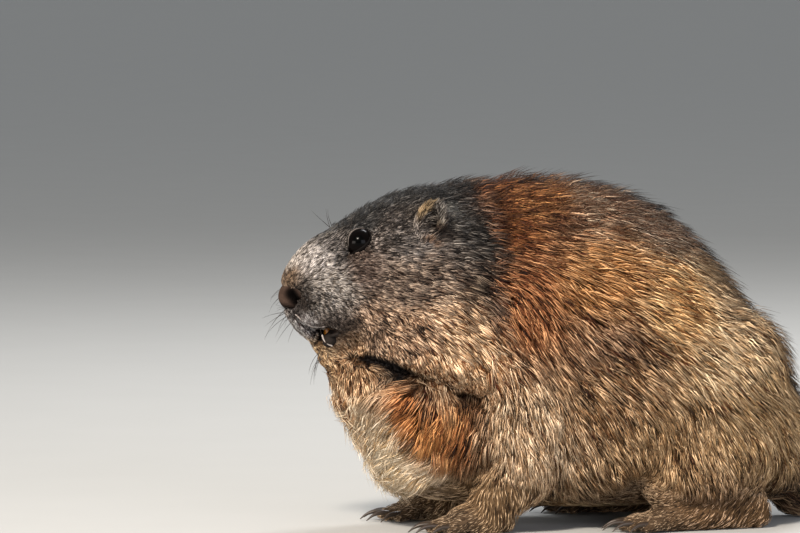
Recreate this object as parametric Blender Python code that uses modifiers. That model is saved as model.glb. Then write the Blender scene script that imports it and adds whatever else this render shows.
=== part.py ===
"""A life-size alpine marmot, hunched on all fours, as a museum model: one named object for each part of its body.

The animal faces -Y, its left side is +X and the floor it stands on is Z = 0. Sizes are in millimetres until they
reach Blender. The outline, from the nose to the tail, is that of the coat. The body is modelled whole, as soft lofts
run together, and is then parted with thin cuts. Flat, tapered locks stand in the coat where it is long.
"""

import math
import random

import bmesh
import bpy
import numpy as np
from mathutils import Matrix, Vector
from mathutils.bvhtree import BVHTree

MM = 0.001
SIDES = {"left": 1, "right": -1}
# Clear space between two parts that meet.
GAP = 0.35
# Half width of what reaches past both sides of the body, and how near its middle plane the legs are parted.
REACH = 200
LEG_INNER = 26
# How far corners that coincide are drawn apart.
TOUCH_APART = 0.02

# Upright sections of the trunk and the head, from front to back: y, top, bottom, height of the widest line,
# half width, roundness above and below that line.
TRUNK = [
    (-145, 92, 90, 91, 0, 2.0, 2.0),
    (-141, 106, 77, 91, 24, 2.0, 2.0),
    (-127, 128, 61, 90, 42, 2.0, 2.0),
    (-107, 160, 33, 86, 54, 2.0, 2.1),
    (-82, 188, 19, 84, 61, 2.0, 2.2),
    (-50, 208, 14, 86, 71, 2.0, 2.3),
    (-14, 208, 13, 88, 82, 2.0, 2.4),
    (24, 203, 12, 86, 90, 2.0, 2.4),
    (56, 190, 12, 80, 92, 2.0, 2.4),
    (86, 163, 12, 72, 88, 2.0, 2.4),
    (112, 130, 13, 62, 78, 2.0, 2.3),
    (132, 101, 15, 54, 62, 2.0, 2.2),
    (147, 76, 19, 46, 42, 2.0, 2.0),
    (154, 54, 30, 41, 19, 2.0, 2.0),
    (156, 42, 40, 41, 0, 2.0, 2.0),
]
HEAD = [
    (-176.5, 142, 140, 141, 0, 2.0, 2.0),
    (-175, 149, 132, 141, 8, 2.0, 2.0),
    (-171, 158, 126, 140, 13, 2.0, 2.0),
    (-166, 165, 119, 138, 17, 2.1, 2.0),
    (-157, 173, 112, 134, 22, 2.3, 2.1),
    (-144, 180, 106, 132, 27, 2.6, 2.2),
    (-132, 187, 103, 133, 32, 2.6, 2.2),
    (-113, 198, 100, 135, 40, 2.6, 2.2),
    (-94, 205, 95, 134, 47, 2.5, 2.2),
    (-75, 208, 88, 130, 53, 2.3, 2.2),
    (-56, 209, 84, 126, 56, 2.2, 2.1),
    (-36, 203, 92, 130, 48, 2.0, 2.0),
    (-22, 184, 112, 136, 30, 2.0, 2.0),
    (-18, 149, 144, 146, 0, 2.0, 2.0),
]
# Oval sections of a left limb and of the tail, from the root: x, y, z, half width, half depth.
FORELEG = [
    (40, -42, 124, 22, 30),
    (53, -42, 92, 26, 31),
    (58, -40, 60, 24, 28),
    (55, -46, 37, 20, 22),
    (49, -58, 20, 15, 16),
    (47, -64, 6, 13.5, 13.5),
]
THIGH = [
    (38, 98, 82, 24, 30),
    (52, 88, 68, 33, 42),
    (62, 72, 50, 33, 42),
    (64, 56, 38, 26, 32),
    (64, 48, 26, 18, 20),
]
SHANK = [
    (64, 56, 32, 18, 18),
    (63, 78, 24, 17, 16),
    (61, 96, 15, 15, 14),
]
TAIL = [
    (0, 132, 34, 19, 19),
    (1, 154, 21, 20, 19),
    (4, 180, 12.5, 21, 18.5),
    (10, 210, 11.5, 22, 18),
    (20, 240, 10.5, 20, 17),
    (33, 263, 9.5, 14, 13),
    (43, 276, 7, 7, 8),
]
# Rounded masses: centre and half sizes, on the left side where x isn't 0.
MASSES = [
    ("lip_pad", (10, -156, 128), (12.5, 13, 11)),
    ("chin", (0, -150, 112), (13, 11, 8)),
    ("brow", (18, -127, 175), (11, 14, 8)),
    ("cheek", (34, -84, 118), (25, 32, 31)),
    ("haunch", (50, 78, 90), (38, 50, 48)),
    ("shoulder", (42, -34, 112), (34, 36, 52)),
]
VOXEL = 2.8
SMOOTH_STEPS = 10
BODY_TRIANGLES = 2800
# How strongly the face is spared when the surface is made coarser.
FACE_FAVOUR = 0.006

# Fore and hind foot: the axis of the sole from the heel forwards, then where its toes start, how far apart they are,
# how thick, and for each its turn in degrees and its length.
FORE_SOLE = [(47, -54, 9, 12, 10), (47, -66, 9.5, 13, 10), (46.5, -78, 8.5, 14, 8.5)]
HIND_SOLE = [
    (61, 102, 9, 12, 10),
    (62, 84, 9.8, 13.5, 11),
    (64, 62, 9.3, 15, 10.5),
    (66, 42, 7.6, 16.5, 8.5),
]
FORE_TOES = {
    "base": (46.5, -80, 4.4),
    "spread": 6.6,
    "radius": 4.5,
    "toes": [(-19, 12), (-6, 16), (6, 16), (19, 11)],
}
HIND_TOES = {
    "base": (66, 36, 4.7),
    "spread": 6.3,
    "radius": 4.8,
    "toes": [(-20, 11), (-10, 16), (0, 19), (9, 17), (20, 11)],
}
# Rows along a toe: how far behind its start it is rooted and how thick it is there, then share of its length, lift
# and share of its thickness.
TOE_ROOT = (7, 0.9)
TOE_ROWS = [(0.5, 1.0, 1.0), (1.0, -1.0, 0.85)]
CLAW_LENGTH = 11
CLAW_RADIUS = 2.0
CLAW_DROOP = 3.0
# Bends of a claw: how far ahead of the toe's tip, lift and share of its radius.
CLAW_BENDS = [(-4, 0.6, 1.0), (0.4 * CLAW_LENGTH, 0.4, 0.8), (CLAW_LENGTH, -CLAW_DROOP, 0.2)]
# Height at which the feet are parted from the legs.
ANKLE = 19.5
# Room round the tail where it is parted from the body.
TAIL_ROOM = 4
# Room over the left forepaw and hind foot, kept clear of the locks under the body: its two corners.
FOOT_ROOMS = [((26, -130, -10), (70, -36, 19.5)), ((40, -10, -10), (94, 120, 19.5))]
EYE_CENTRE = (19.2, -133.2, 171.2)
EYE_RADIUS = 7.2
EYE_LOOKS = (0.90, -0.36, 0.22)
EYE_SLANT = (0.0, 0.72, 0.70)
# The loop of the lids: its half sizes, its points, how far over the eye it lies and how thick it is.
LID_OPENING = (7.0, 5.6)
LID_POINTS = 12
LID_LIFT = 0.6
LID_RADIUS = 1.3

EAR_CENTRE = (34.5, -96, 185)
EAR_HALF = (8, 8.5, 12)
EAR_OPENS = (0.80, -0.58, 0.12)
EAR_RISES = (0.22, 0.22, 0.95)
EAR_CUT = 0.25
EAR_WALL = 1.8

NOSE_CENTRE = (0, -172.5, 139)
NOSE_HALF = (11.5, 9.5, 10)
NOSTRIL_CENTRE = (5.6, -173.5, 137.5)
NOSTRIL_HALF = (1.7, 6.0, 2.6)
NOSTRIL_TURN = 35
PHILTRUM = [(0, -178, 133), (0, -174, 127), (0, -171.5, 121), (0, -169, 114)]
PHILTRUM_RADIUS = 0.9

# Side outlines, as (y, z), of the cutters that part the head, neck and jaw, and that open the mouth.
HEAD_CUT = [
    (-74, 260),
    (-68, 165),
    (-70, 120),
    (-80, 97),
    (-94, 92),
    (-114, 96),
    (-140, 101),
    (-260, 102),
    (-260, 260),
]
NECK_CUT = [(-40, 260), (-34, 165), (-42, 112), (-60, 84), (-92, 76), (-150, 84), (-260, 94), (-260, 260)]
FORELEG_CUT = [(-18, 126), (-12, 92), (-14, 56), (-26, 12), (-84, 12), (-74, 50), (-72, 96), (-60, 124)]
SHIN_CUT = [(40, 50), (-120, 56), (-120, 0), (40, 0)]
THIGH_CUT = [(110, 98), (84, 110), (54, 98), (33, 74), (22, 44), (24, 12), (118, 12), (120, 64)]
JAW_CUT = [(-138, 123.5), (-150, 119), (-190, 119), (-190, 80), (-124, 80), (-129, 108)]
MOUTH_GAP = [
    (-138.5, 123.6),
    (-150, 121.0),
    (-160, 121.8),
    (-169, 126.5),
    (-190, 128),
    (-190, 114.6),
    (-160, 115.8),
    (-150, 117.0),
]
UPPER_LIP = [(-141, 124.8), (-148, 122.8), (-155, 122.6), (-162, 124.4), (-167, 128.0)]
LOWER_LIP = [(-141, 120.0), (-147, 116.2), (-153, 114.6), (-158.5, 114.4)]
LIP_RADIUS = 1.5
LIP_SUNK = 0.5
# Half widths of the mouth's opening and of the jaw.
MOUTH_HALF = 28
JAW_HALF = 25
# The height at which the incisors leave the jaw.
ROOT_HEIGHT = 118.1
TOOTH_ROOM = [(-20, -170, 80), (20, -130, ROOT_HEIGHT)]
INCISOR = [(1.7, -149.5, 113, 2.0, 1.7), (1.7, -150.5, 117.5, 2.0, 1.6), (1.6, -151.2, 119.9, 1.7, 0.8)]

# Depth of the coat above the skin, and the share of it that stands above the core where locks grow.
COAT_DEPTH = 12
CORE_SHARE = 0.5
# Where the coat runs from short to deep: from the face back, from the cheeks down, and up from the feet, which all
# lie in front of HEEL_BACK.
FACE_FADE = (-135, -78)
CHEEK_FADE = (104, 86)
FOOT_FADE = (16, 52)
HEEL_BACK = 140
# The lie of the coat: on the tail, which starts at TAIL_FRONT, and on the throat and chest. On the flanks it turns
# down between two heights, by how much less it points back and how much more down.
TAIL_FRONT = 158
TAIL_LIE = (0.25, 0.95, -0.08)
CHEST_LIE = (0, 0.25, -1)
CHEST_FADE = (-50, -100)
THROAT_FADE = (140, 95)
FLANK_FADE = (200, 60)
FLANK_TURN = (0.62, 1.15)
# Locks: length and width of each kind, thickness, how deep the root is sunk, and how far sizes and turns vary.
BACK_LOCK = (60, 45)
RUFF_LOCK = (32, 23)
CHEST_LOCK = (36, 28)
TAIL_LOCK = (40, 20)
LOCK_THICK = 4.4
LOCK_ROOT = 5.0
LENGTH_SPREAD = 0.12
WIDTH_SPREAD = 0.08
SWING = 9
SEED = 12
# Stations along a lock behind its root: share of its length, of its rise and of its width.
LOCK_STATIONS = [(0.30, 0.5, 1.0), (0.68, 0.95, 0.7), (1.0, 1.05, 0.0)]
ROOT_WIDTH = 0.75
# Rows of locks on the trunk, by y. Behind HAUNCH they are fewer, and behind RUMP they grow from a lower middle.
BACK_ROWS = range(-56, 130, 35)
BACK_COUNTS = (12, 10)
BACK_MIDDLES = (78, 60)
HAUNCH = 80
RUMP = 100
# The ruff's middle, and the turns of its locks from upright.
RUFF_MIDDLE = (0, -92, 128)
RUFF_TURNS = (62, 88, 114)
# Rows of locks on the chest, by height: y of their middle, turn of the first lock, step between them and count.
CHEST_ROWS = (62, 84)
CHEST_Y = -86
CHEST_FIRST = -64
CHEST_STEP = 32
CHEST_COUNT = 5
TAIL_ROWS = range(160, 250, 30)
TAIL_COUNT = 6
TAIL_LEAN = 0.2
# No lock grows where the coat is shallower than this share, or under the body.
LEAST_COAT = 0.35
UNDERSIDE = -0.5

FUR_ROUGHNESS = 0.85
FINISHES = {
    "head": ("5b5148", FUR_ROUGHNESS),
    "jaw": ("4a4038", FUR_ROUGHNESS),
    "nose": ("2b2320", 0.5),
    "incisors": ("d07a28", 0.35),
    "eye": ("0c0a09", 0.08),
    "ear": ("7d6248", FUR_ROUGHNESS),
    "neck": ("4c423b", FUR_ROUGHNESS),
    "torso": ("9a6a3c", FUR_ROUGHNESS),
    "foreleg": ("a8804f", FUR_ROUGHNESS),
    "thigh": ("a67945", FUR_ROUGHNESS),
    "forepaw": ("8c7458", FUR_ROUGHNESS),
    "hindfoot": ("8c7458", FUR_ROUGHNESS),
    "tail": ("6b5138", FUR_ROUGHNESS),
}


def named_collection(name, hidden=False):
    """A new collection in the scene."""
    made = bpy.data.collections.new(name)
    bpy.context.scene.collection.children.link(made)
    made.hide_render = hidden
    return made


def empty_collection(collection):
    """Removes a collection and all that it holds."""
    for obj in list(collection.objects):
        bpy.data.objects.remove(obj)
    bpy.data.collections.remove(collection)


def link_mesh(name, mesh, collection):
    """An object of this mesh in this collection."""
    made = bpy.data.objects.new(name, mesh)
    collection.objects.link(made)
    return made


def add_mesh(name, bm, collection):
    """An object from a bmesh in millimetres, with its faces turned outwards."""
    bmesh.ops.recalc_face_normals(bm, faces=bm.faces)
    bmesh.ops.scale(bm, vec=(MM, MM, MM), verts=bm.verts)
    mesh = bpy.data.meshes.new(name)
    bm.to_mesh(mesh)
    bm.free()
    return link_mesh(name, mesh, collection)


def smooth_rows(stations, per_span):
    """Stations joined by a centripetal Catmull-Rom curve, with per_span rows to each span."""
    points = np.array(stations, float)
    p = np.vstack([2 * points[0] - points[1], points, 2 * points[-1] - points[-2]])
    rows = []
    for i in range(1, len(p) - 2):
        t = [0.0]
        for a, b in zip(p[i - 1 : i + 2], p[i : i + 3]):
            t.append(t[-1] + max(np.linalg.norm(b - a), 1e-6) ** 0.5)
        for k in range(per_span):
            s = t[1] + (t[2] - t[1]) * k / per_span
            a1 = ((t[1] - s) * p[i - 1] + (s - t[0]) * p[i]) / (t[1] - t[0])
            a2 = ((t[2] - s) * p[i] + (s - t[1]) * p[i + 1]) / (t[2] - t[1])
            a3 = ((t[3] - s) * p[i + 1] + (s - t[2]) * p[i + 2]) / (t[3] - t[2])
            b1 = ((t[2] - s) * a1 + (s - t[0]) * a2) / (t[2] - t[0])
            b2 = ((t[3] - s) * a2 + (s - t[1]) * a3) / (t[3] - t[1])
            rows.append(((t[2] - s) * b1 + (s - t[1]) * b2) / (t[2] - t[1]))
    rows.append(points[-1])
    return rows


def skin_rings(rings, bm, cap_first=False):
    """Faces between successive rings of points. A ring of one point is a pole."""
    made = [[bm.verts.new(p) for p in ring] for ring in rings]
    for a, b in zip(made, made[1:]):
        count = max(len(a), len(b))
        for i in range(count):
            j = (i + 1) % count
            corners = [a[i % len(a)], a[j % len(a)], b[j % len(b)], b[i % len(b)]]
            bm.faces.new(list(dict.fromkeys(corners)))
    if cap_first:
        bm.faces.new(made[0])


def trunk_ring(row, around):
    """One upright section across the body, rounder or squarer above and below its widest line."""
    y, top, bottom, wide, half, above, below = row
    ring = []
    for k in range(around):
        turn = 2 * math.pi * k / around
        c, s = math.cos(turn), math.sin(turn)
        power = 2 / (above if c >= 0 else below)
        reach = (top - wide) if c >= 0 else (wide - bottom)
        x = half * math.copysign(abs(s) ** power, s)
        z = wide + reach * math.copysign(abs(c) ** power, c)
        ring.append((x, y, z))
    return ring


def trunk_loft(name, stations, collection, per_span=4, around=40):
    """The trunk or the head, closed to a point at both ends."""
    rows = smooth_rows(stations, per_span)
    rings = [trunk_ring(r, around) for r in rows[1:-1]]
    front, back = ([(0, r[0], (r[1] + r[2]) / 2)] for r in (rows[0], rows[-1]))
    bm = bmesh.new()
    skin_rings([front, *rings, back], bm)
    return add_mesh(name, bm, collection)


def limb_loft(name, stations, collection, side=1, per_span=4, around=16, extra=0.0):
    """A tube of oval sections along a limb, with round ends, wider all round by extra."""
    rows = [(side * s[0], s[1], s[2], s[3] + extra, s[4] + extra) for s in stations]
    rows = smooth_rows(rows, per_span)
    centres = [Vector(r[:3]) for r in rows]
    last = len(rows) - 1
    round_end = [(0.0, 1.0), (0.7, 0.75), (1.0, 0.0)]
    rings = []
    for i, row in enumerate(rows):
        along = (centres[min(i + 1, last)] - centres[max(i - 1, 0)]).normalized()
        across = (Vector((1, 0, 0)) - along * along.x).normalized()
        other = along.cross(across)
        steps = [(0.0, 1.0)]
        if i == 0:
            steps = [(-push, share) for push, share in reversed(round_end)]
        elif i == last:
            steps = round_end
        for push, share in steps:
            middle = centres[i] + along * push * min(row[3], row[4])
            if not share:
                rings.append([middle])
                continue
            turns = [2 * math.pi * k / around for k in range(around)]
            rings.append(
                [middle + share * (across * row[3] * math.cos(t) + other * row[4] * math.sin(t)) for t in turns]
            )
    bm = bmesh.new()
    skin_rings(rings, bm)
    return add_mesh(name, bm, collection)


def ball(name, centre, half_sizes, collection, segments=24, rings=16, turn=None):
    """An ellipsoid, turned by a matrix if one is given."""
    bm = bmesh.new()
    bmesh.ops.create_uvsphere(bm, u_segments=segments, v_segments=rings, radius=1)
    bmesh.ops.scale(bm, vec=half_sizes, verts=bm.verts)
    if turn:
        bmesh.ops.transform(bm, matrix=turn, verts=bm.verts)
    bmesh.ops.translate(bm, vec=centre, verts=bm.verts)
    return add_mesh(name, bm, collection)


def grown_outline(outline, amount):
    """An outline of (y, z) points moved outwards by amount, square to each edge."""
    points = [Vector(p) for p in outline]
    area = sum(a.x * b.y - b.x * a.y for a, b in zip(points, points[1:] + points[:1]))
    way = math.copysign(1, area)
    grown = []
    for before, here, after in zip(points[-1:] + points[:-1], points, points[1:] + points[:1]):
        first, second = (here - before).normalized(), (after - here).normalized()
        first, second = Vector((first.y, -first.x)) * way, Vector((second.y, -second.x)) * way
        corner = first + second
        grown.append(here + corner * amount * 2 / max(corner.length_squared, 0.5))
    return grown


def prism(name, outline, collection, grow=0.0, across=(-REACH, REACH)):
    """A side outline of (y, z) points, drawn out from one x to another, and larger all round by grow."""
    low, high = min(across) - grow, max(across) + grow
    bm = bmesh.new()
    face = bm.faces.new([bm.verts.new((low, y, z)) for y, z in grown_outline(outline, grow)])
    drawn = bmesh.ops.extrude_face_region(bm, geom=[face])["geom"]
    moved = [v for v in drawn if isinstance(v, bmesh.types.BMVert)]
    bmesh.ops.translate(bm, vec=(high - low, 0, 0), verts=moved)
    return add_mesh(name, bm, collection)


def block(name, low, high, collection):
    """A box between two corners."""
    bm = bmesh.new()
    bmesh.ops.create_cube(bm, size=1)
    bmesh.ops.scale(bm, vec=[b - a for a, b in zip(low, high)], verts=bm.verts)
    bmesh.ops.translate(bm, vec=[(a + b) / 2 for a, b in zip(low, high)], verts=bm.verts)
    return add_mesh(name, bm, collection)


def tube(name, points, radius, collection, cyclic=False, taper=None):
    """A thin tube along points, made as a curve and turned into a closed mesh."""
    curve = bpy.data.curves.new(name, "CURVE")
    curve.dimensions = "3D"
    curve.bevel_depth = radius * MM
    curve.bevel_resolution = 0
    curve.use_fill_caps = not cyclic
    spline = curve.splines.new("POLY")
    spline.points.add(len(points) - 1)
    for i, (target, point) in enumerate(zip(spline.points, points)):
        target.co = (*(MM * v for v in point), 1)
        target.radius = taper[i] if taper else 1.0
    spline.use_cyclic_u = cyclic
    drawn = bpy.data.objects.new(name + "_line", curve)
    collection.objects.link(drawn)
    bpy.context.view_layer.update()
    mesh = evaluated_mesh(drawn, name)
    bpy.data.objects.remove(drawn)
    bm = bmesh.new()
    bm.from_mesh(mesh)
    bmesh.ops.remove_doubles(bm, verts=bm.verts, dist=1e-6)
    bmesh.ops.recalc_face_normals(bm, faces=bm.faces)
    bm.to_mesh(mesh)
    bm.free()
    return link_mesh(name, mesh, collection)


def evaluated_mesh(obj, name):
    """The mesh that an object's modifiers make."""
    graph = bpy.context.evaluated_depsgraph_get()
    mesh = bpy.data.meshes.new_from_object(obj.evaluated_get(graph))
    mesh.name = name
    return mesh


def apply_modifiers(obj):
    """Puts what an object's modifiers make in place of its mesh."""
    bpy.context.view_layer.update()
    old = obj.data
    obj.data = evaluated_mesh(obj, obj.name)
    obj.modifiers.clear()
    bpy.data.meshes.remove(old)


def enclosed(piece):
    """The volume within a closed set of faces."""
    total = 0.0
    for face in piece:
        first = face.verts[0].co
        for a, b in zip(face.verts[1:], face.verts[2:]):
            total += first.dot(a.co.cross(b.co)) / 6
    return total


def keep_largest(obj):
    """Drops every closed surface of an object but the one that encloses most."""
    bm = bmesh.new()
    bm.from_mesh(obj.data)
    left, pieces = set(bm.faces), []
    while left:
        start = left.pop()
        piece, todo = [start], [start]
        while todo:
            for edge in todo.pop().edges:
                if len(edge.link_faces) != 2:
                    continue
                for face in edge.link_faces:
                    if face in left:
                        left.discard(face)
                        piece.append(face)
                        todo.append(face)
        pieces.append(piece)
    kept = set(max(pieces, key=enclosed))
    bmesh.ops.delete(bm, geom=[f for f in bm.faces if f not in kept], context="FACES")
    bm.to_mesh(obj.data)
    bm.free()


def boolean(obj, operation, other):
    """Cuts, joins or crosses an object with another, or with a collection, and applies it."""
    modifier = obj.modifiers.new(operation.lower(), "BOOLEAN")
    modifier.operation = operation
    modifier.solver = "MANIFOLD"
    if isinstance(other, bpy.types.Collection):
        modifier.operand_type = "COLLECTION"
        modifier.collection = other
    else:
        modifier.object = other
    apply_modifiers(obj)
    keep_largest(obj)


def cut(obj, cutter, operation="DIFFERENCE"):
    """Cuts an object with a cutter, which is then removed."""
    boolean(obj, operation, cutter)
    bpy.data.objects.remove(cutter)


def carve(rest, name, make_cutter, collection):
    """Parts a node from rest. make_cutter gives a cutter, larger all round by what it is told."""
    node = link_mesh(name, rest.data.copy(), collection)
    cut(node, make_cutter(0.0), "INTERSECT")
    cut(rest, make_cutter(GAP))
    return node


def grown_copy(obj, amount, collection):
    """A copy of an object, larger all round, to cut its neighbours clear of it."""
    made = link_mesh(obj.name + "_clear", obj.data.copy(), collection)
    normals = [v.normal.copy() for v in made.data.vertices]
    for vertex, normal in zip(made.data.vertices, normals):
        vertex.co += normal * amount * MM
    made.data.update()
    return made


def ramp(value, start, end):
    """0 up to start, 1 from end on and a smooth change between. The end may be the lower of the two."""
    t = min(max((value - start) / (end - start), 0.0), 1.0)
    return t * t * (3 - 2 * t)


def coat_share(p):
    """How deep the coat is at a point, as a share of its full depth: little on the face and feet."""
    face = max(ramp(p.y, *FACE_FADE), ramp(p.z, *CHEEK_FADE))
    foot = ramp(p.z, *FOOT_FADE) if p.y < HEEL_BACK else 1.0
    return min(face, foot)


def coat_lie(p):
    """The way the hair points at a point: back along the spine, more and more down the flanks."""
    if p.y > TAIL_FRONT:
        return Vector(TAIL_LIE)
    down = ramp(p.z, *FLANK_FADE)
    lie = Vector((0, 1 - FLANK_TURN[0] * down, -FLANK_TURN[1] * down))
    front = ramp(p.y, *CHEST_FADE) * ramp(p.z, *THROAT_FADE)
    return lie.lerp(Vector(CHEST_LIE), front).normalized()


def sink_to_core(body):
    """Moves the coat's surface in to its core, by the share of its depth that the locks stand in."""
    normals = [v.normal.copy() for v in body.data.vertices]
    for vertex, normal in zip(body.data.vertices, normals):
        vertex.co -= normal * MM * COAT_DEPTH * CORE_SHARE * coat_share(vertex.co / MM)
    body.data.update()


def body_shape(collection):
    """The whole body as lofts and masses run into one smooth surface, down to its coat's core."""
    trunk_loft("body", TRUNK, collection)
    trunk_loft("head_mass", HEAD, collection)
    limb_loft("tail_mass", TAIL, collection)
    for side in SIDES.values():
        limb_loft("foreleg_mass", FORELEG, collection, side)
        limb_loft("thigh_mass", THIGH, collection, side)
        limb_loft("shank_mass", SHANK, collection, side)
        for name, centre, half_sizes in MASSES:
            ball(name, (side * centre[0], *centre[1:]), half_sizes, collection)
    masses = list(collection.objects)
    bm = bmesh.new()
    for obj in masses:
        bm.from_mesh(obj.data)
        bpy.data.objects.remove(obj)
    mesh = bpy.data.meshes.new("body")
    bm.to_mesh(mesh)
    bm.free()
    body = link_mesh("body", mesh, collection)
    remesh = body.modifiers.new("run_together", "REMESH")
    remesh.mode = "VOXEL"
    remesh.voxel_size = VOXEL * MM
    apply_modifiers(body)
    sink_to_core(body)
    smooth = body.modifiers.new("soften", "SMOOTH")
    smooth.factor = 0.5
    smooth.iterations = SMOOTH_STEPS
    apply_modifiers(body)
    coarse = body.vertex_groups.new(name="coarse")
    for vertex in body.data.vertices:
        coarse.add([vertex.index], 1 - FACE_FAVOUR * (1 - ramp(vertex.co.y / MM, -130, -70)), "REPLACE")
    thin = body.modifiers.new("thin_out", "DECIMATE")
    thin.ratio = BODY_TRIANGLES / (2 * len(body.data.polygons))
    thin.use_collapse_triangulate = True
    thin.vertex_group = "coarse"
    thin.vertex_group_factor = 1.0
    apply_modifiers(body)
    body.vertex_groups.clear()
    return body


class Surface:
    """The body's surface, to set locks and lips on, in millimetres."""

    def __init__(self, obj):
        points = [v.co / MM for v in obj.data.vertices]
        self.tree = BVHTree.FromPolygons(points, [tuple(p.vertices) for p in obj.data.polygons])

    def nearest(self, point):
        """The surface's nearest point to this one, and its normal there."""
        return self.tree.find_nearest(point)[:2]

    def hit(self, start, direction):
        """Where a ray first meets the surface, and its normal there."""
        return self.tree.ray_cast(start, direction)[:2]


def add_lock(name, surface, root, size, rise, swing, collection):
    """One flat, tapered lock that grows from root and bends along the coat, its tip rise above the core."""
    length, width = size
    steps = [(0.0, -LOCK_ROOT, ROOT_WIDTH)]
    steps += [(share, lift * rise, part) for share, lift, part in LOCK_STATIONS]
    place, normal = surface.nearest(root)
    turn = Matrix.Rotation(swing, 3, normal)
    rings, last = [], 0.0
    for share, height, part in steps:
        lie = turn @ coat_lie(place)
        lie = (lie - normal * lie.dot(normal)).normalized()
        place, normal = surface.nearest(place + lie * length * (share - last))
        last = share
        middle = place + normal * height
        if not part:
            rings.append([middle])
            continue
        across = normal.cross(lie).normalized() * width / 2 * part
        sides = []
        for edge in (across, -across):
            foot, up = surface.nearest(place + edge)
            sides.append(foot + up * (height - 0.25 * LOCK_THICK))
        half = normal * LOCK_THICK / 2 * (0.4 + 0.6 * part)
        rings.append([sides[0], middle + half, sides[1], middle - half])
    bm = bmesh.new()
    skin_rings(rings, bm, cap_first=True)
    add_mesh(name, bm, collection)


def add_locks(surface, collection):
    """Locks in staggered rows over the trunk, on the cheeks and chest, and along the tail."""
    draw = random.Random(SEED)

    def grow(kind, start, direction, size):
        """One lock where a ray from within meets the surface, with its size and turn a little uneven."""
        place, normal = surface.hit(Vector(start), Vector(direction))
        if place is None or normal.z < UNDERSIDE or coat_share(place) < LEAST_COAT:
            return
        rise = COAT_DEPTH * CORE_SHARE * coat_share(place)
        spreads = (LENGTH_SPREAD, WIDTH_SPREAD)
        varied = [part * draw.uniform(1 - spread, 1 + spread) for part, spread in zip(size, spreads)]
        add_lock(kind, surface, place, varied, rise, math.radians(draw.uniform(-SWING, SWING)), collection)

    def staggered(k, row, count):
        """The turn of lock k in a full round of count, with every other row half a step on."""
        return 2 * math.pi * (k + 0.5 * (row % 2)) / count

    for row, y in enumerate(BACK_ROWS):
        count = BACK_COUNTS[y >= HAUNCH]
        for k in range(count):
            turn = staggered(k, row, count)
            grow("back_lock", (0, y, BACK_MIDDLES[y >= RUMP]), (math.sin(turn), 0, math.cos(turn)), BACK_LOCK)
    for side in SIDES.values():
        for turn in map(math.radians, RUFF_TURNS):
            grow("ruff_lock", RUFF_MIDDLE, (side * math.sin(turn), 0, math.cos(turn)), RUFF_LOCK)
    for row, z in enumerate(CHEST_ROWS):
        for k in range(CHEST_COUNT):
            turn = math.radians(CHEST_FIRST + CHEST_STEP * (k + 0.5 * (row % 2)))
            grow("chest_lock", (0, CHEST_Y, z), (math.sin(turn), -math.cos(turn), 0), CHEST_LOCK)
    for row, y in enumerate(TAIL_ROWS):
        near = min(TAIL, key=lambda s: abs(s[1] - y))
        for k in range(TAIL_COUNT):
            turn = staggered(k, row, TAIL_COUNT)
            grow("tail_lock", (near[0], y, near[2]), (math.sin(turn), TAIL_LEAN, math.cos(turn)), TAIL_LOCK)


def add_lids(side, collection):
    """The rim of the lids, an almond loop close over the eye."""
    centre = Vector((side * EYE_CENTRE[0], *EYE_CENTRE[1:]))
    looks = Vector((side * EYE_LOOKS[0], *EYE_LOOKS[1:])).normalized()
    slant = Vector((side * EYE_SLANT[0], *EYE_SLANT[1:]))
    slant = (slant - looks * slant.dot(looks)).normalized()
    across = looks.cross(slant)
    loop = []
    for k in range(LID_POINTS):
        turn = 2 * math.pi * k / LID_POINTS
        flat = slant * LID_OPENING[0] * math.cos(turn) + across * LID_OPENING[1] * math.sin(turn)
        out = math.sqrt((EYE_RADIUS + LID_LIFT) ** 2 - flat.length_squared)
        loop.append(centre + looks * out + flat)
    tube("lids", loop, LID_RADIUS, collection, cyclic=True)


def add_lips(surface, side, collection):
    """A soft ridge along the upper and the lower lip."""
    for name, line in (("upper_lip", UPPER_LIP), ("lower_lip", LOWER_LIP)):
        points = []
        for y, z in line:
            place, _ = surface.hit(Vector((side * REACH, y, z)), Vector((-side, 0, 0)))
            points.append(place - Vector((side * LIP_SUNK, 0, 0)))
        tube(name, points, LIP_RADIUS, collection)


def add_forms(body):
    """Joins the locks, lids and lips to the body."""
    forms = named_collection("raised_forms")
    surface = Surface(body)
    add_locks(surface, forms)
    for side in SIDES.values():
        add_lids(side, forms)
        add_lips(surface, side, forms)
    boolean(body, "UNION", forms)
    empty_collection(forms)


def make_ear(side_name, side, head, collection, cutters):
    """One small, round, cupped ear, parted from the head by the usual gap."""
    opens = Vector((side * EAR_OPENS[0], *EAR_OPENS[1:])).normalized()
    rises = Vector((side * EAR_RISES[0], *EAR_RISES[1:]))
    rises = (rises - opens * rises.dot(opens)).normalized()
    bm = bmesh.new()
    bmesh.ops.create_uvsphere(bm, u_segments=12, v_segments=10, radius=1)
    bmesh.ops.scale(bm, vec=EAR_HALF, verts=bm.verts)
    everything = list(bm.verts) + list(bm.edges) + list(bm.faces)
    rim = (EAR_CUT * EAR_HALF[0], 0, 0)
    bmesh.ops.bisect_plane(bm, geom=everything, plane_co=rim, plane_no=(1, 0, 0), clear_outer=True)
    frame = Matrix((opens, rises.cross(opens), rises)).transposed().to_4x4()
    frame.translation = Vector((side * EAR_CENTRE[0], *EAR_CENTRE[1:]))
    bmesh.ops.transform(bm, matrix=frame, verts=bm.verts)
    ear = add_mesh("ear_" + side_name, bm, collection)
    wall = ear.modifiers.new("wall", "SOLIDIFY")
    wall.thickness = EAR_WALL * MM
    wall.offset = -1
    apply_modifiers(ear)
    clear = grown_copy(head, GAP, cutters)
    boolean(ear, "DIFFERENCE", clear)
    bpy.data.objects.remove(clear)


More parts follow.
